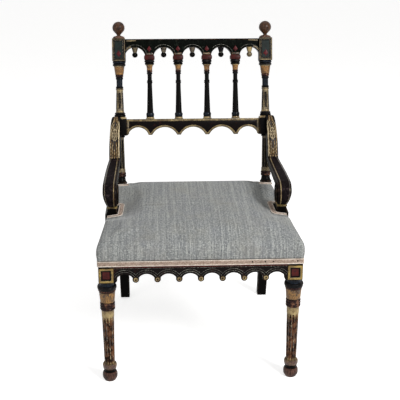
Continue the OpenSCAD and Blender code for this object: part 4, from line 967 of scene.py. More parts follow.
def front_arcade():
    """The pierced board below the seat, with two silvered lines over each arch and rims on its drops"""
    shape = bmesh.new()
    sawn = board(arcade_outline(), ARCADE_FRONT, ARCADE_BACK, rounding=0.7)
    paint([facing(sawn, (0, -1, 0))], "plum_black")
    put(shape, sawn)
    for k in range(ARCHES):
        centre = (-ARCADE_HALF + (k + 0.5) * ARCH_PITCH, ARCH_Z)
        for radius, low in ((32, 34), (37.8, 38.4)):
            line = arc_points(centre, radius, low, 180 - low, 24)
            put(shape, moulding(line, 1.2, 0.7, ARCADE_FRONT, "silver"))
    half, strip_low, strip_high = ARCADE_HALF - 0.5, 351.4, 356.2
    low, high = (-half, ARCADE_FRONT - 0.5, strip_low), (half, ARCADE_FRONT + 1, strip_high)
    put(shape, block(low, high, "dark_red", "edge", 0.4))
    under = [(-half, strip_low - 1.2), (half, strip_low - 1.2)]
    put(shape, moulding(under, 1.1, 1.0, ARCADE_FRONT, "silver"))
    for x in DROPS:
        put(shape, lathe(RING, 32), shift((x, ARCADE_FRONT + 0.2, DROP_Z)) @ FACING_FRONT)
    settle(shape, "arcade_board", nodes=["front_arcade"])


def rosettes():
    """Gilt flowers of eight petals on the drops, with a dark eye"""
    shape, eye = bmesh.new(), 2.6
    for x in DROPS:
        flower = lathe(FLOWER, 48)
        for vert in flower.verts:
            radius = vert.co.xy.length
            if radius > eye:
                petal = abs(math.cos(4 * math.atan2(vert.co.y, vert.co.x)))
                vert.co.xy *= 1 - 0.16 * (1 - petal) * (radius - eye) / 3.8
                vert.co.z *= 0.55 + 0.45 * petal
        put(shape, flower, shift((x, ARCADE_FRONT, DROP_Z)) @ FACING_FRONT)
    settle(shape, "arcade_rosettes", nodes=["arcade_bosses"], angle=50)


front_arcade()
rosettes()

# Arms

ARM_X, ARM_IN, ARM_W, ARM_T, LEAF_W, ARM_BOW, ARM_TAPER, COLLAR_IN = 256, 9, 41, 29, 29, 5, 3, 4
SCROLL_R, SCROLL_Y, SCROLL_Z, HUB_R, VOLUTE_R, DRUM_OUT, DRUM_IN = 37, 235, 478, 8, 29, 11, 18
COLLAR_TOP, COLLAR_H, COLLAR_W, COLLAR_L, COLLAR_Y = 450, 15, 30, 64, 261
PLINTH_X, PLINTH_Y, PLINTH_HALF_X, PLINTH_HALF_Y, PLINTH_FOOT = 255, 276, 18.5, 41.5, 22


def on_post_face(t, out=0.0):
    """A point [y, z] before the leaned face of a post"""
    reach = POST_HALF + out
    return Vector((
        TURNING_Y + math.sin(RAKE) * t - math.cos(RAKE) * reach,
        TURNING_Z + math.cos(RAKE) * t + math.sin(RAKE) * reach,
    ))


LEAF_END = on_post_face(ARM_BLOCK - 70, 36)
HEAD = on_post_face(ARM_BLOCK_TOP + 1, 0.2)
LEAF_CURVE = (HEAD, HEAD + Vector((-14, 2)), LEAF_END + Vector((4, 46)), LEAF_END)


def arm_pairs():
    """Pairs of points [y, z] down the arm: on its upper side and on its under side"""
    heel, root = on_post_face(ARM_BLOCK + 2, 0.2), LEAF_END + Vector((-2, -3))
    below = LEAF_END + Vector((22, -20))
    top, under = Vector((SCROLL_Y, SCROLL_Z + SCROLL_R)), Vector((SCROLL_Y, SCROLL_Z + SCROLL_R - ARM_T))
    leaf_under = bent(heel, heel + Vector((-8, -12)), below + Vector((12, 12)), below, 16)
    bow_top = bent(root, root + Vector((-30, -8)), top + Vector((90, 2)), top, 20)
    bow_under = bent(below + Vector((-3, -2)), below + Vector((-24, -12)), under + Vector((80, 0)), under, 20)
    pairs = list(zip(bent(*LEAF_CURVE, 16), leaf_under)) + list(zip(bow_top, bow_under))
    for i in range(1, 29):
        turn = math.radians(90 + 160 * i / 28)
        ray = Vector((math.cos(turn), math.sin(turn)))
        middle = Vector((SCROLL_Y, SCROLL_Z))
        pairs.append((middle + SCROLL_R * ray, middle + HUB_R * ray))
    return pairs


def along_arm(y):
    return max(0, min(1, (y - SCROLL_Y) / (HEAD.x - SCROLL_Y)))


def arm_middle(y):
    """How far the arm's middle line lies from the chair's: it swings in towards the post"""
    return ARM_X - ARM_IN * along_arm(y) ** ARM_BOW


def arm_half(y):
    """Half the arm's width, which tapers to the head of its leaf"""
    return (ARM_W + (LEAF_W - ARM_W) * along_arm(y) ** ARM_TAPER) / 2


def arm_ring(top, under):
    """Round the arm at one place: eased arrises, and two raised lines along the upper side"""
    down = (under - top).normalized()
    low = 0
    if top.x < SCROLL_Y:
        low = max(0, min(1, (SCROLL_Z + 14 - top.y) / (SCROLL_Z + 14 - COLLAR_TOP))) ** 1.4
    x = arm_middle(top.x) - COLLAR_IN * low
    w = arm_half(top.x) * (1 - low) + (COLLAR_W / 2 + 1) * low
    c = min(5, (under - top).length / 3)
    across_and_down = [
        (w, -c, 1), (w - c, 0, 1), (-w + c, 0, 1), (-w, -c, 1),
        (-w, c, 0), (-w + c * 0.3, c * 0.3, 0), (-w + c, 0, 0), (-w + 7, 0, 0), (-w + 7.6, -0.7, 0),
        (-w + 9.6, -0.7, 0), (-w + 10.2, 0, 0), (0, -0.4, 0),
        (w - c - 2.8, 0, 0), (w - c - 2.2, -0.7, 0), (w - c - 0.6, -0.7, 0), (w - c, 0, 0),
        (w - c * 0.3, c * 0.3, 0), (w, c, 0),
    ]
    places = [(across, (under if end else top) + down * off) for across, off, end in across_and_down]
    return [(-x - across, *place) for across, place in places]


ARM_FINISHES = [
    "ebony", "ebony", "ebony", "arm_side", "rubbed", "rubbed",
    "rubbed", "gilt_line", "gilt", "gilt_line", "arm_top", "arm_top",
    "plum_black", "gilt_line", "gilt_line", "plum_black", "edge", "green_black",
]


def volute(radius, finish):
    """The disc on the inner side of the scroll, with a rim, a dish and a hollow eye"""
    return lathe([
        (0, 0, finish), (radius, 0, finish), (radius, 2.6, "edge"), (radius - 1.2, 4, "edge"),
        (radius - 4.5, 4, finish), (radius - 5.6, 2.8, finish), (radius - 12, 2.2, finish),
        (11, 2.9, finish), (8.5, 4.4, "edge"), (6.2, 4.4, "edge"), (5, 3, "nail"), (4.6, 1, "nail"),
        (0, 1, "nail"),
    ], 64)


def arm(mirrored, name):
    shape = bmesh.new()
    band = loft([arm_ring(*pair) for pair in arm_pairs()], ARM_FINISHES)
    paint([face for face in band.faces if face.calc_center_median().y > LEAF_END.x + 4], "ebony")
    put(shape, band)
    on_side = shift((-ARM_X, SCROLL_Y, SCROLL_Z)) @ turned_by(math.pi / 2, 4, "Y")
    wide = SCROLL_R - 1.5
    drum = lathe([
        (0, -DRUM_OUT, "ebony"), (wide - 0.5, -DRUM_OUT, "ebony"), (wide, 1 - DRUM_OUT, "edge"),
        (wide, DRUM_IN - 1, "ebony"), (wide - 0.5, DRUM_IN, "edge"), (0, DRUM_IN, "ebony"),
    ], 72)
    drum.transform(on_side)
    whole = drum.verts[:] + drum.edges[:] + drum.faces[:]
    above = {"plane_co": (0, 0, COLLAR_TOP), "plane_no": (0, 0, -1), "clear_outer": True}
    cut = bmesh.ops.bisect_plane(drum, geom=whole, **above)
    rim = [e for e in cut["geom_cut"] if isinstance(e, bmesh.types.BMEdge)]
    paint(bmesh.ops.holes_fill(drum, edges=rim)["faces"], "ebony")
    put(shape, drum)
    put(shape, volute(VOLUTE_R, "green_black"), on_side @ shift((0, 0, ARM_W / 2 - 0.5)))
    settle(shape, "arm_band_" + name, nodes=["arm_" + name], mirrored=mirrored)


def ridge(off, width, v, start, end):
    """A carved ridge that far off its line, tapering out at its two ends down the leaf"""
    ends = max(0, min(1, (v - start) / 0.04, (end - v) / 0.06))
    return ends * math.exp(-((off / width) ** 2))


def leaf_relief(u, v):
    """Carved height of the leaf, 0 to 1, at u across (-1 to 1) and v down it (0 to 1).

    Two husks curl at its head, pointed petals open round the cone, and veined lobes hang below.
    """
    side = abs(u)
    husk = math.hypot((side - 0.42) / 0.4, (v - 0.07) / 0.075)
    height = max(0.14, 0.95 * (1 - husk) + 0.3 * math.cos(8 * husk) if husk < 1 else 0)
    if u < -0.8 and v > 0.1:
        height = 0.74
    for top, reach, width in ((0.06, 0.95, 0.1), (0.13, 0.74, 0.1), (0.2, 0.5, 0.09)):
        petal = reach * max(0, min(1, (v - top) / 0.2)) ** 0.55
        height = max(height, (1.05 - 0.5 * v) * ridge(side - petal, width, v, top, 0.36 + 0.28 * reach))
    for line, start, width in ((0, 0.62, 0.1), (0.36, 0.58, 0.11), (0.74, 0.56, 0.12)):
        wave = line + 0.05 * math.sin(16 * v + 5 * line)
        veins = 0.85 + 0.15 * math.cos(70 * (v + 0.1 * side))
        height = max(height, veins * (1.12 - 0.42 * v) * ridge(side - wave, width, v, start, 0.99))
    lip = max(0, (v - 0.93) / 0.07) * (0.5 + 0.3 * math.cos(math.tau * 2 * side))
    return min(1, max(height, lip)) if side < 0.99 else 0.1


def bead(out, radius):
    """A small ball, its relief highest where it looks out of the carving, so that side takes a painted
    highlight and the rest painted shade
    """
    part = bmesh.new()
    bmesh.ops.create_icosphere(part, subdivisions=2, radius=radius)
    layer = part.verts.layers.float.new("relief")
    for vert in part.verts:
        # Painted highlight on the side facing out, painted shade round the rest
        vert[layer] = 0.95 * max(0, vert.co.dot(Vector((0, out.x, out.y))) / radius)
    paint(part.faces, "carving")
    return part


def leaf(mirrored, name):
    """Acanthus leaf carved on the arm where it climbs the post, round a cone of beads"""
    shape, steps = bmesh.new(), 240
    bmesh.ops.create_grid(shape, x_segments=52, y_segments=150, size=1)
    relief = shape.verts.layers.float.new("relief")
    curve = bent(*LEAF_CURVE, steps)
    head, foot = curve[0].y, curve[-1].y
    for vert in shape.verts:
        u, v = vert.co.x, (1 - vert.co.y) / 2
        at = round(steps * (0.02 + 0.98 * v))
        here = curve[at]
        down = (curve[min(steps, at + 1)] - curve[max(0, at - 1)]).normalized()
        out = Vector((-down.y, down.x))
        if out.x > 0 or out.y < 0 and abs(out.x) < 0.2:
            out = -out
        scallop = 0.5 + 0.5 * abs(math.cos(math.pi * (v * 6.5 + 0.2)))
        fallen = (head - here.y) / (head - foot)
        wide = (arm_half(here.x) - 1.2) * (0.9 + 0.1 * scallop) * min(1, math.sqrt(0.24 + 4 * fallen))
        height = leaf_relief(u, fallen)
        # The carved height also colours the carving: painted shade in the low places, painted highlight on
        # the high ones
        vert[relief] = height
        lift = -0.6 + 6.6 * height * (1 - abs(u) ** 8)
        place = here + out * lift
        vert.co = (-arm_middle(here.x) - u * wide, place.x, place.y)
    rim = [e for e in shape.edges if e.is_boundary]
    made = bmesh.ops.extrude_edge_only(shape, edges=rim)
    for vert in [v for v in made["geom"] if isinstance(v, bmesh.types.BMVert)]:
        vert.co.y += 1.6
        vert.co.z -= 1.2
        # The rim under the leaf's edge gets the darkest colour, painted shade
        vert[relief] = 0
    rim = [e for e in shape.edges if e.is_boundary]
    bmesh.ops.holes_fill(shape, edges=rim)
    paint(shape.faces, "carving")
    cone_mid, cone_half, cone_wide = 0.43, 0.14, 9.6
    for row in range(9):
        level = head - (head - foot) * (cone_mid + cone_half * (row - 4) / 4.2)
        at = min(range(steps - 2), key=lambda i: abs(curve[i].y - level))
        here = curve[at]
        down = (curve[at + 2] - here).normalized()
        out = Vector((-abs(down.y), down.x if down.y > 0 else -down.x))
        reach = cone_wide * math.sqrt(max(0.04, 1 - ((row - 4) / 4.4) ** 2))
        count = max(1, round(reach / 2.5))
        for k in range(count):
            across = (k - (count - 1) / 2) * 2 * reach / max(count, 2)
            dome = math.sqrt(max(0, 1 - (across / 10.5) ** 2 - ((row - 4) / 6) ** 2))
            place = here + out * (2.6 + 4.2 * dome)
            put(shape, bead(out, 2.1), shift((-arm_middle(here.x) - across, *place)))
    settle(shape, "leaf_" + name, mirrored=mirrored, angle=60)


def plinth(mirrored, name):
    """The flared block that carries the scroll, with a gilt collar on top"""
    shape, low, e = bmesh.new(), RAIL_TOP, 1.6
    foot, head = low + PLINTH_FOOT, COLLAR_TOP - COLLAR_H
    levels = [(low, 0.0), (low + 1, 0.0), (foot - 1.2, 0.0), (foot, 0.0)]
    for i in range(1, 15):
        turn = math.radians(90 * i / 14)
        levels.append((foot + (head - foot) * (1 - math.cos(turn)), math.sin(turn)))
    rings = []
    for z, share in levels:
        out_x = PLINTH_X + PLINTH_HALF_X - 7.5 * share
        in_x = PLINTH_X - PLINTH_HALF_X + 2.5 * share
        front, back = [
            PLINTH_Y + way * PLINTH_HALF_Y + (COLLAR_Y + way * 30 - PLINTH_Y - way * PLINTH_HALF_Y) * share
            for way in (-1, 1)
        ]
        rings.append([
            (-out_x, front + e, z), (-out_x + e, front, z), (-in_x - e, front, z), (-in_x, front + e, z),
            (-in_x, back - e, z), (-in_x - e, back, z), (-out_x + e, back, z), (-out_x, back - e, z),
        ])
    put(shape, loft(rings, ["edge", "ebony"] * 4))
    mid_x = ARM_X - COLLAR_IN
    bands = [(head, COLLAR_TOP, 0, "gilt_square"), (head + 0.2, head + 3, 0.9, "gilt_square")]
    bands.append((COLLAR_TOP - 3, COLLAR_TOP - 0.2, 0.9, "gilt_worn"))
    for low, high, proud, look in bands:
        half = Vector((COLLAR_W / 2 + proud, COLLAR_L / 2 + proud, (high - low) / 2))
        middle = Vector((-mid_x, COLLAR_Y, (high + low) / 2))
        put(shape, block(middle - half, middle + half, look, "gilt_worn", 1.1))
    settle(shape, "plinth_" + name, nodes=["arm_plinth_" + name], mirrored=mirrored)


for mirrored, name in ((False, "left"), (True, "right")):
    arm(mirrored, name)
    leaf(mirrored, name)
    plinth(mirrored, name)

# Seat frame below the cover

for name, nodes in {
    "beech": ["front_rail", "corner_block_front_left", "corner_block_front_right",
              "corner_block_rear_left", "corner_block_rear_right", "arm_dowels", "plinth_dowels"],
    "steel": ["arcade_screws", "corner_screws", "plinth_screws"],
    "ebony": ["side_rail_left", "side_rail_right", "rear_rail"],
}.items():
    for node in nodes:
        dress(node, name)


def cord(points, radius, finish_name, sides=6):
    """A round cord through the points; the curve becomes a mesh"""
    line = bpy.data.curves.new("line", "CURVE")
    line.dimensions = "3D"
    line.bevel_depth = radius
    line.bevel_resolution = max(0, sides // 2 - 2)
    line.use_fill_caps = True
    spline = line.splines.new("POLY")
    spline.points.add(len(points) - 1)
    for point, place in zip(spline.points, points):
        point.co = (*place, 1)
    holder = bpy.data.objects.new("line", line)
    part = bmesh.new()
    mesh = bpy.data.meshes.new_from_object(holder)
    part.from_mesh(mesh)
    bmesh.ops.remove_doubles(part, verts=part.verts, dist=0.001)
    paint(part.faces, finish_name)
    bpy.data.objects.remove(holder)
    bpy.data.curves.remove(line)
    bpy.data.meshes.remove(mesh)
    return part


INNER_FRONT_Y, RAIL_FRONT_Y, REAR_RAIL_BACK_Y, REAR_RAIL_FRONT_Y = 17, -7, 517.54, 493.54
SPRING_LOW, SPRING_HIGH, SPRING_R, WAIST_R, WIRE_R = 340.1, 409, 39, 25, 1.8
SPRING_PITCH_X, SPRING_PITCH_Y = 108, 119.135


def springs():
    """Nine double-cone springs of one wire each"""
    shape, turns, spots = bmesh.new(), 4, 24
    middle = (INNER_FRONT_Y + REAR_RAIL_FRONT_Y) / 2
    for i, j in ((i, j) for i in (-1, 0, 1) for j in (-1, 0, 1)):
        points = []
        for k in range(turns * spots + 1):
            s = k / (turns * spots)
            turn = math.tau * turns * s
            radius = WAIST_R + (SPRING_R - WAIST_R) * abs(2 * s - 1) ** 1.5
            points.append((
                i * SPRING_PITCH_X + radius * math.cos(turn),
                middle + j * SPRING_PITCH_Y + radius * math.sin(turn),
                SPRING_LOW + (SPRING_HIGH - SPRING_LOW) * s,
            ))
        put(shape, cord(points, WIRE_R, "steel", 8))
    settle(shape, "coil_springs", nodes=["seat_springs"], angle=60)


WEB_Z, WEB_T, WEB_W, WEB_REACH = 336.5, 1.2, 50, 8


def web_strip(start, end, across, z):
    """A strip of webbing: jute, with two dark threads near each selvedge"""
    half = WEB_W / 2
    stops = [-1, -0.93, -0.8, -0.72, -0.6, -0.52, 0.52, 0.6, 0.72, 0.8, 0.93, 1]
    tones = ["jute", "jute", "nail", "jute", "nail", "jute", "nail", "jute", "nail", "jute", "jute"]
    rings = []
    for k in range(13):
        here = start.lerp(end, k / 12)
        sag = -0.25 * math.sin(math.pi * k / 12)
        low = [(here + across * half * s + Vector((0, 0, z + sag))) for s in stops]
        high = [p + Vector((0, 0, WEB_T)) for p in reversed(low)]
        rings.append(low + high)
    return loft(rings, [*tones, "jute", *reversed(tones), "jute"], ("jute", "jute"))


def webbing():
    front, back = RAIL_FRONT_Y + WEB_REACH, REAR_RAIL_BACK_Y - WEB_REACH
    long_strips, cross_strips = bmesh.new(), bmesh.new()
    for k in range(4):
        x = (k - 1.5) * SPRING_PITCH_X
        put(long_strips, web_strip(Vector((x, front, 0)), Vector((x, back, 0)), Vector((1, 0, 0)), WEB_Z))
        y = front + (k + 0.5) * (back - front) / 4
        half = side_x(y + WEB_W / 2) - WEB_REACH
        put(cross_strips, web_strip(
            Vector((-half, y, 0)), Vector((half, y, 0)), Vector((0, 1, 0)), WEB_Z - WEB_T - 0.2,
        ))
    settle(long_strips, "web_front_to_back", nodes=["webbing_lengthwise"])
    settle(cross_strips, "web_side_to_side", nodes=["webbing_crosswise"])


def stretched_cloth(name, node, z, inset, lift, finish_name):
    """A cloth tacked round the frame, cut out at the legs; lift bends its middle up or down"""
    a, b, thick = RAIL_FRONT_Y + inset, REAR_RAIL_BACK_Y - inset, 1
    leg_in, leg_back, post_in, post_front = 237.5, 22, 210, REAR_Y - 21
    wa, wb = side_x(a) - inset, side_x(b) - inset
    right = [(min(wa, leg_in), a)]
    if wa > leg_in:
        right += [(leg_in, leg_back), (side_x(leg_back) - inset, leg_back)]
    right += [(side_x(post_front) - inset, post_front), (post_in, post_front), (post_in, b)]
    left = [(-x, y) for x, y in reversed(right)]
    outline = left[-1:] + right + left[:-1]
    shape = bmesh.new()
    shape.faces.new([shape.verts.new((x, y, z + thick / 2)) for x, y in outline])
    area = sum(f.calc_area() for f in shape.faces) * MM * MM
    cuts, still_x = 20, 262
    for k in range(1, cuts):
        x, y = FRONT_OUT_X * (2 * k / cuts - 1), a + (b - a) * k / cuts
        for co, no in (((x, 0, 0), (1, 0, 0)), ((0, y, 0), (0, 1, 0))):
            whole = shape.verts[:] + shape.edges[:] + shape.faces[:]
            bmesh.ops.bisect_plane(shape, geom=whole, plane_co=co, plane_no=no)
    for vert in shape.verts:
        across = max(0, 1 - (vert.co.x / still_x) ** 2)
        down = max(0, 1 - ((2 * vert.co.y - a - b) / (b - a)) ** 2)
        vert.co.z += lift * across * down
    for face in shape.faces:
        if face.normal.z < 0:
            face.normal_flip()
    paint(shape.faces, finish_name)
    bmesh.ops.solidify(shape, geom=shape.faces[:], thickness=thick)
    made = settle(shape, name, nodes=[node], angle=60)


springs()
webbing()
stretched_cloth("hessian_cover", "spring_hessian", 411.1, 30, 1.5, "hessian")
stretched_cloth("bottom_cloth", "dust_cover", 333.6, 5, -3, "black_cloth")

# Cushion

IN_MM = UPRIGHT.inverted()
COVER_PROUD, DRAW_IN, HEM_Z, CROWN_Z = 4, 2, 373.3, 446
CUSHION_FRONT, CUSHION_BACK = -25, 521.5
CORNER_R, SWELL_FRAMES, SWELL_CAP, START_LOWER = 10, 20, 9, 3
# The stitched edge roll is firm, so the cover swells only inside it
EDGE_ROLL, SWELL_ROOM = 6, 50
# Where the cover is tacked down: up over the rails, and round the plinths and posts
TACK_UP, TACK_ASIDE, TACK_ALONG, POST_TACK_X, POST_TACK_Y = 4, 7, 8, REAR_X - 27, 470


def seat_outline():
    """Round the seat at its hem, the corners rounded and the sides drawn in between them"""
    front, back = side_x(0) + COVER_PROUD, side_x(REAR_Y) + COVER_PROUD
    corners = [Vector(p) for p in (
        (front, CUSHION_FRONT), (back, CUSHION_BACK), (-back, CUSHION_BACK), (-front, CUSHION_FRONT),
    )]
    points = []
    for k in range(4):
        before, here, after = corners[k - 1], corners[k], corners[(k + 1) % 4]
        start = here + (before - here).normalized() * CORNER_R
        end = here + (after - here).normalized() * CORNER_R
        stop = after + (here - after).normalized() * CORNER_R
        for i in range(6):
            s = i / 6
            points.append((1 - s) ** 2 * start + 2 * s * (1 - s) * here + s * s * end)
        points += [end.lerp(stop, i / 24) for i in range(24)]
    middle, half = (CUSHION_FRONT + CUSHION_BACK) / 2, (CUSHION_BACK - CUSHION_FRONT) / 2
    drawn = []
    for x, y in points:
        side = 1 - DRAW_IN / FRONT_X * math.sin(math.pi * (y - CUSHION_FRONT) / (2 * half))
        ends = math.cos(math.pi / 2 * x / FRONT_OUT_X) * (abs(y - middle) / half) ** 4
        drawn.append((x * side, y + (DRAW_IN if y < middle else -DRAW_IN) * ends))
    return drawn, middle, half


# How far in from the hem a ring lies, in mm, and its share of the rise to the crown
SEAT_RINGS = [
    (0, 0), (-1, 0.16), (-1.2, 0.32), (-0.4, 0.46), (3, 0.59), (6, 0.66), (10, 0.72), (15, 0.77),
    (20, 0.81), (34, 0.875), (56, 0.925), (88, 0.96), (130, 0.982), (180, 0.994), (225, 0.999),
]


def rise_share(inset):
    """The share of the rise that far in from the hem, on the upper side"""
    upper = SEAT_RINGS[4:]
    for (a, low), (b, high) in zip(upper, upper[1:]):
        if inset <= b:
            return low + (high - low) * max(0, inset - a) / (b - a)
    return upper[-1][1]


def ledge_z(far):
    """Height of the cover beside a plinth, which falls towards the edge of the seat"""
    return LEDGE_Z + LEDGE_SLOPE * max(0, LEDGE_OUT - max(far, PLINTH_IN - GIMP_W / 2))


def hem_rooms(x, y):
    """How far a place lies in from each side of the hem"""
    side = side_x(y) + COVER_PROUD
    return [side - x, side + x, y - CUSHION_FRONT, CUSHION_BACK - y]


def soften(place):
    """Rounds the hips where the slopes of two sides meet, and sinks the cover round plinths and posts"""
    x, y, z = IN_MM @ place
    rooms = hem_rooms(x, y)
    nearest = min(rooms)
    if nearest > 3:
        blended = sum(room**-4 for room in rooms) ** -0.25
        z = HEM_Z + (z - HEM_Z) * rise_share(blended) / rise_share(nearest)
    far = abs(x)
    off_plinth = math.hypot(max(0, PLINTH_IN - far), 0.6 * max(0, PLINTH_FRONT - y, y - PLINTH_BACK))
    off_post = math.hypot(max(0, REAR_X - 20 - far), max(0, POST_FRONT - y))
    dips = ((off_plinth, ledge_z(far), GIMP_W, 0.5), (off_post, POST_LEDGE_Z, 20, 0.35))
    for off, level, flat, slope in dips:
        z = min(z, level - 0.5 + slope * max(0, off - flat))
    return UPRIGHT @ Vector((x, y, z))


def prism(outline, low, high):
    part = bmesh.new()
    face = part.faces.new([part.verts.new((x, y, low)) for x, y in outline])
    made = bmesh.ops.extrude_face_region(part, geom=[face])
    moved = [v for v in made["geom"] if isinstance(v, bmesh.types.BMVert)]
    bmesh.ops.translate(part, verts=moved, vec=(0, 0, high - low))
    bmesh.ops.recalc_face_normals(part, faces=part.faces)
    return part


def object_of(name, part):
    """An object from a shape in millimetres, stood in the frame"""
    part.transform(UPRIGHT)
    bmesh.ops.recalc_face_normals(part, faces=part.faces)
    mesh = bpy.data.meshes.new(name)
    part.to_mesh(mesh)
    part.free()
    made = bpy.data.objects.new(name, mesh)
    bpy.context.scene.collection.objects.link(made)
    return made


def applied(made):
    """Takes the result of an object's modifiers as its mesh"""
    graph = bpy.context.evaluated_depsgraph_get()
    mesh = bpy.data.meshes.new_from_object(made.evaluated_get(graph))
    made.modifiers.clear()
    old, made.data = made.data, mesh
    bpy.data.meshes.remove(old)


def cut_away(made, tool_part):
    tool = object_of("tool", tool_part)
    cut = made.modifiers.new("cut", "BOOLEAN")
    cut.operation, cut.solver, cut.object = "DIFFERENCE", "EXACT", tool
    applied(made)
    mesh = tool.data
    bpy.data.objects.remove(tool)
    bpy.data.meshes.remove(mesh)


PLINTH_IN, PLINTH_OUT, PLINTH_FRONT, PLINTH_BACK = 236.2, 300, 234.2, 317.8
LEDGE_Z, LEDGE_SLOPE, LEDGE_OUT = 409, 0.16, 268
POST_FRONT, POST_LEDGE_Z, GIMP_W = 492.5, 425, 16


def notches():
    """Where the cover is cut round the plinths, with a ledge for their braid, and round the posts"""
    part, gap, post_in = bmesh.new(), 0.4, REAR_X - 18.8
    low, high, behind = 300, 470, 620
    for way in (-1, 1):
        near, far = way * PLINTH_IN, way * PLINTH_OUT
        plan = [(near, PLINTH_FRONT), (far, PLINTH_FRONT), (far, PLINTH_BACK), (near, PLINTH_BACK)]
        put(part, prism(plan, RAIL_TOP - 0.3, CROWN_Z + 9))
        leg = [(*leg_line(s), leg_depth(s) / 2 + gap) for s in (0, 0.05, 0.1, 0.2, 0.3)]
        outline = [(y - deep, z) for y, z, deep in leg]
        outline += [(behind, low), (behind, high), (503, high)]
        rings = [[(way * x, y, z) for y, z in outline] for x in (post_in, PLINTH_OUT)]
        put(part, loft(rings, ["ebony"] * len(outline)))
    return part


def swell(made):
    """Cloth simulation: the stuffing presses the cover out above the rails, which hold it below"""
    for vert in made.data.vertices:
        share = max(0, (vert.co.z / MM - RAIL_TOP) / (CROWN_Z - RAIL_TOP))
        vert.co.z -= START_LOWER * MM * share * share
    start = [v.co.copy() for v in made.data.vertices]
    tacked = made.vertex_groups.new(name="tacked")
    for index, place in enumerate(start):
        x, y, z = IN_MM @ place
        beside = abs(x) > PLINTH_IN - TACK_ASIDE
        near_plinth = beside and PLINTH_FRONT - TACK_ALONG < y < PLINTH_BACK + TACK_ALONG
        near_post = abs(x) > POST_TACK_X and y > POST_TACK_Y
        if z < RAIL_TOP + TACK_UP or near_plinth or near_post:
            tacked.add([index], 1, "REPLACE")
    cloth = made.modifiers.new("cloth", "CLOTH")
    cloth.settings.quality = 5
    cloth.settings.mass = 0.3
    cloth.settings.vertex_group_mass = "tacked"
    cloth.settings.use_pressure = True
    cloth.settings.uniform_pressure_force = 4
    cloth.settings.effector_weights.gravity = 0
    cloth.collision_settings.use_collision = False
    for step in range(1, SWELL_FRAMES + 1):
        bpy.context.scene.frame_set(step)
    graph = bpy.context.evaluated_depsgraph_get()
    swollen = made.evaluated_get(graph).to_mesh()
    ends = [v.co.copy() for v in swollen.vertices]
    made.evaluated_get(graph).to_mesh_clear()
    made.modifiers.clear()
    for vert, first, last in zip(made.data.vertices, start, ends):
        x, y, z = IN_MM @ first
        room = min(hem_rooms(x, y))
        move = (last - first) * min(1, max(0, (room - EDGE_ROLL) / SWELL_ROOM))
        if move.length > SWELL_CAP * MM:
            move *= SWELL_CAP * MM / move.length
        vert.co = first + move
    made.vertex_groups.clear()
    bpy.context.scene.frame_set(1)


def thread_map(mesh):
    """Lays the cloth's threads: from front to back along the seat, and down over its edges"""
    layer = mesh.uv_layers.new(name="threads")
    for face in mesh.polygons:
        looks = [abs(a) for a in face.normal]
        sideways = looks.index(max(looks)) == 0
        for index in face.loop_indices:
            x, y, z = IN_MM @ mesh.vertices[mesh.loops[index].vertex_index].co
            u, v = (z, y) if sideways else (x, y + z)
            layer.data[index].uv = (u * MM, v * MM)


def fit_to_frame(made):
    """Takes the rails, the leg blocks and the room for the springs out of the stuffing"""
    gap, low = 0.3, HEM_Z - 5
    a, b = RAIL_FRONT_Y - gap, REAR_RAIL_BACK_Y + gap
    sides = [(-side_x(a) - gap, a), (side_x(a) + gap, a), (side_x(b) + gap, b), (-side_x(b) - gap, b)]
    cut_away(made, prism(sides, low, RAIL_TOP + gap))
    reach = LEG_BLOCK_HALF + gap
    for way in (-1, 1):
        near, far = FRONT_X - reach, FRONT_X + reach
        corner = [(way * near, -reach), (way * far, -reach), (way * far, reach), (way * near, reach)]
        cut_away(made, prism(corner, low, RAIL_TOP + gap))
    front, back, rail_in, top = 21, 489.5, 28, 413.1
    pocket = [(way * (side_x(y) - rail_in), y) for way, y in ((-1, front), (1, front), (1, back), (-1, back))]
    cut_away(made, prism(pocket, RAIL_TOP - 2, top))


def cushion():
    """The stuffed seat in its cover"""
    outline, middle, half = seat_outline()
    rise = CROWN_Z - HEM_Z
    rings = []
    for inset, share in SEAT_RINGS:
        kx, ky = 1 - inset / FRONT_OUT_X, 1 - inset / half
        rings.append([(x * kx, middle + (y - middle) * ky, HEM_Z + rise * share) for x, y in outline])
    made = object_of("seat_cover", loft(rings, ["ebony"] * len(outline)))
    made.data.materials.clear()
    cut_away(made, notches())
    remesh = made.modifiers.new("remesh", "REMESH")
    remesh.mode, remesh.voxel_size, remesh.adaptivity = "VOXEL", 5 * MM, 0
    applied(made)
    shape = bmesh.new()
    shape.from_mesh(made.data)
    for turn in range(8):
        above = HEM_Z + 3 if turn < 2 else RAIL_TOP + 26
        bmesh.ops.smooth_vert(
            shape, verts=[v for v in shape.verts if v.co.z > above * MM], factor=0.5,
            use_axis_x=turn < 2, use_axis_y=turn < 2, use_axis_z=True,
        )
    shape.to_mesh(made.data)
    shape.free()
    swell(made)
    for vert in made.data.vertices:
        vert.co = soften(vert.co)
    subdivide = made.modifiers.new("smooth", "SUBSURF")
    subdivide.levels = subdivide.render_levels = 1
    applied(made)
    fit_to_frame(made)
    shape = bmesh.new()
    shape.from_mesh(made.data)
    bmesh.ops.remove_doubles(shape, verts=shape.verts, dist=0.02 * MM)
    bmesh.ops.dissolve_degenerate(shape, edges=shape.edges, dist=0.01 * MM)
    for face in shape.faces:
        face.material_index = 0
    shape.to_mesh(made.data)
    shape.free()
    made.data.materials.clear()
    made.data.materials.append(FINISHES["cover"])
    thread_map(made.data)
    made.data.shade_smooth()
    made.data.set_sharp_from_angle(angle=math.radians(50))
    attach(made, "root")
    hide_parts("seat_cushion")


cushion()

# Gimp

CORD_R, WAVE_PITCH, WAVE_OUT = 1.35, 8.5, 2.5
NAILS, NAIL_HEAD = (140, 175, 197, 264), [(0, 0), (2.2, 0), (1.9, 0.8), (1.1, 1.4), (0, 1.6)]
NAIL_Y, NAIL_Z = -23.4, 366


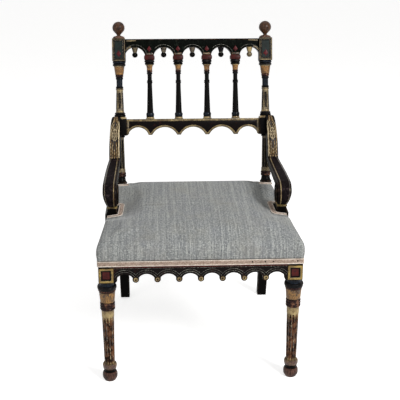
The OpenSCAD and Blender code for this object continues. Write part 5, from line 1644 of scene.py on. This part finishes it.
def rounded_path(points, radius):
    """A path with its corners rounded, its points about 2 mm apart"""
    points = [Vector(p) for p in points]
    smooth = [points[0]]
    for before, here, after in zip(points, points[1:], points[2:]):
        first = here + (before - here).normalized() * radius
        last = here + (after - here).normalized() * radius
        smooth += [(1 - s) ** 2 * first + 2 * s * (1 - s) * here + s * s * last
                   for s in (i / 6 for i in range(7))]
    smooth.append(points[-1])
    made = [smooth[0]]
    for a, b in zip(smooth, smooth[1:]):
        count = max(1, round((b - a).length / 2))
        made += [a.lerp(b, i / count) for i in range(1, count + 1)]
    return made


def gimp(shape, path, upright):
    """Braid on a path of points: a band with rolled edges, and two cords that cross along its middle.

    Upright braid stands on the rails' faces, to the path's right; the other kind lies flat.
    """
    spots, length, up = [], 0.0, Vector((0, 0, 1))
    for i, here in enumerate(path):
        ahead = (path[min(i + 1, len(path) - 1)] - path[max(i - 1, 0)]).normalized()
        right = Vector((ahead.y, -ahead.x, 0)).normalized()
        if i:
            length += (here - path[i - 1]).length
        spots.append((here, right if upright else up, up if upright else right, length))
    half, thick, look = GIMP_W / 2 - 1.4, 0.9, "braid_middle"
    for start in range(0, len(spots) - 1, 60):
        rings = [
            [p + a * half, p + a * half + o * thick, p - a * half + o * thick, p - a * half]
            for p, o, a, s in spots[start : start + 61]
        ]
        put(shape, loft(rings, [look] * 4, (look, look)))
    for way in (-1, 1):
        put(shape, cord([p + a * way * half + o * 1.25 for p, o, a, s in spots], CORD_R, "braid"))
        wave = [
            p + a * way * WAVE_OUT * math.sin(math.tau * s / WAVE_PITCH) + o * (1.3 + 0.25 * way)
            for p, o, a, s in spots
        ]
        put(shape, cord(wave, 0.9, look))


def trimmings():
    """Braid round the seat and at the feet of the posts, nails in it, and braid round the plinths"""
    shape, b = bmesh.new(), REAR_Y - 20
    edge_x, edge_y, level = FRONT_X + 21.3, 21.4, ARCADE_TOP - GIMP_W / 2
    round_front = [(-side_x(b) - 0.3, b, level), (-edge_x, edge_y, level), (-edge_x, -edge_y, level)]
    round_front += [(-x, y, z) for x, y, z in reversed(round_front)]
    gimp(shape, rounded_path(round_front, 4), True)
    back = REAR_RAIL_BACK_Y + 0.4
    gimp(shape, rounded_path([(217, back, level), (-217, back, level)], 4), True)
    for way in (-1, 1):
        front = POST_FRONT - GIMP_W / 2 + 1
        at_post = [(way * (REAR_X + 18), front, POST_LEDGE_Z - 2), (way * (REAR_X - 24), front, POST_LEDGE_Z)]
        gimp(shape, rounded_path(at_post, 7), False)
    for x in NAILS:
        nail = lathe([(r, rise, "nail") for r, rise in NAIL_HEAD], 12)
        put(shape, nail, shift((x, NAIL_Y, NAIL_Z)) @ FACING_FRONT)
    settle(shape, "seat_gimp", nodes=["seat_braid"], angle=60)
    shape, front, back = bmesh.new(), 226.5, 325.5
    for way in (-1, 1):
        path = [(267, front), (228.6, front), (226, back), (265, back)]
        path = [(way * x, y, ledge_z(x) + 0.3) for x, y in path]
        gimp(shape, rounded_path(path, 11), False)
    settle(shape, "plinth_gimp", nodes=["plinth_braid"], angle=60)


trimmings()

# Camera, light and floor

LENS_MM, SENSOR_MM, PITCH_DOWN, YAW = 79.02, 36, math.radians(19), math.radians(2.532)

camera = bpy.data.objects.new("camera", bpy.data.cameras.new("camera"))
camera.data.lens, camera.data.sensor_width = LENS_MM, SENSOR_MM
camera.data.clip_end = 50
camera.location = (-0.1003, LEG_Y - 2.2207, 1.3033)
camera.rotation_euler = (math.pi / 2 - PITCH_DOWN, 0, -YAW)
bpy.context.scene.collection.objects.link(camera)
bpy.context.scene.camera = camera


def by_seeing_rays(tree):
    """1 for rays of the camera, of reflections and of glass, which show the white background; else 0"""
    seen = add(tree, "LightPath", out="Is Camera Ray")
    for kind in ("Is Glossy Ray", "Is Transmission Ray"):
        ray = add(tree, "LightPath", out=kind)
        seen = add(tree, "Math", {0: seen, 1: ray}, operation="MAXIMUM")
    return seen


def backdrop(tree):
    """Plain white studio floor: almost pure white to the camera, with only a soft shadow left on it"""
    seen = by_seeing_rays(tree)
    return {
        "Base Color": "#eeedeb",
        "Roughness": 0.9,
        "IOR": 1.3,
        "Emission Color": "#ffffff",
        "Emission Strength": add(tree, "Math", {0: seen, 1: 0.7}, operation="MULTIPLY"),
    }


floor_shape = bmesh.new()
bmesh.ops.create_grid(floor_shape, x_segments=1, y_segments=1, size=30)
floor_mesh = bpy.data.meshes.new("floor")
floor_shape.to_mesh(floor_mesh)
floor_shape.free()
floor_mesh.materials.append(finish("white_studio_floor", backdrop))
floor = bpy.data.objects.new("floor", floor_mesh)
bpy.context.scene.collection.objects.link(floor)


def lamp(name, place, aim, size, watts):
    """A soft box that looks at a point"""
    made = bpy.data.objects.new(name, bpy.data.lights.new(name, "AREA"))
    made.data.shape, made.data.size, made.data.energy = "DISK", size, watts
    made.location = place
    made.rotation_euler = (Vector(aim) - Vector(place)).to_track_quat("-Z", "Y").to_euler()
    bpy.context.scene.collection.objects.link(made)


lamp("key", (1.8, -2.4, 2.3), (0, 0, 0.5), 1.0, 94)
lamp("fill", (-2.2, -2.0, 2.0), (0, 0, 0.5), 1.8, 12)
lamp("top", (0.2, 0.2, 3.4), (0, 0, 0.4), 1.8, 12)

world = bpy.data.worlds.new("studio")
bpy.context.scene.world = world
world.use_nodes = True
world_tree = world.node_tree
world_tree.nodes.clear()
seen = by_seeing_rays(world_tree)
around = add(world_tree, "Background", {"Color": "#ffffff", "Strength": 0.26})
behind = add(world_tree, "Background", {"Color": "#ffffff", "Strength": 1.0})
shown = add(world_tree, "MixShader", {0: seen, 1: around, 2: behind})
add(world_tree, "OutputWorld", {"Surface": shown})

bpy.context.scene.view_settings.view_transform = "Standard"
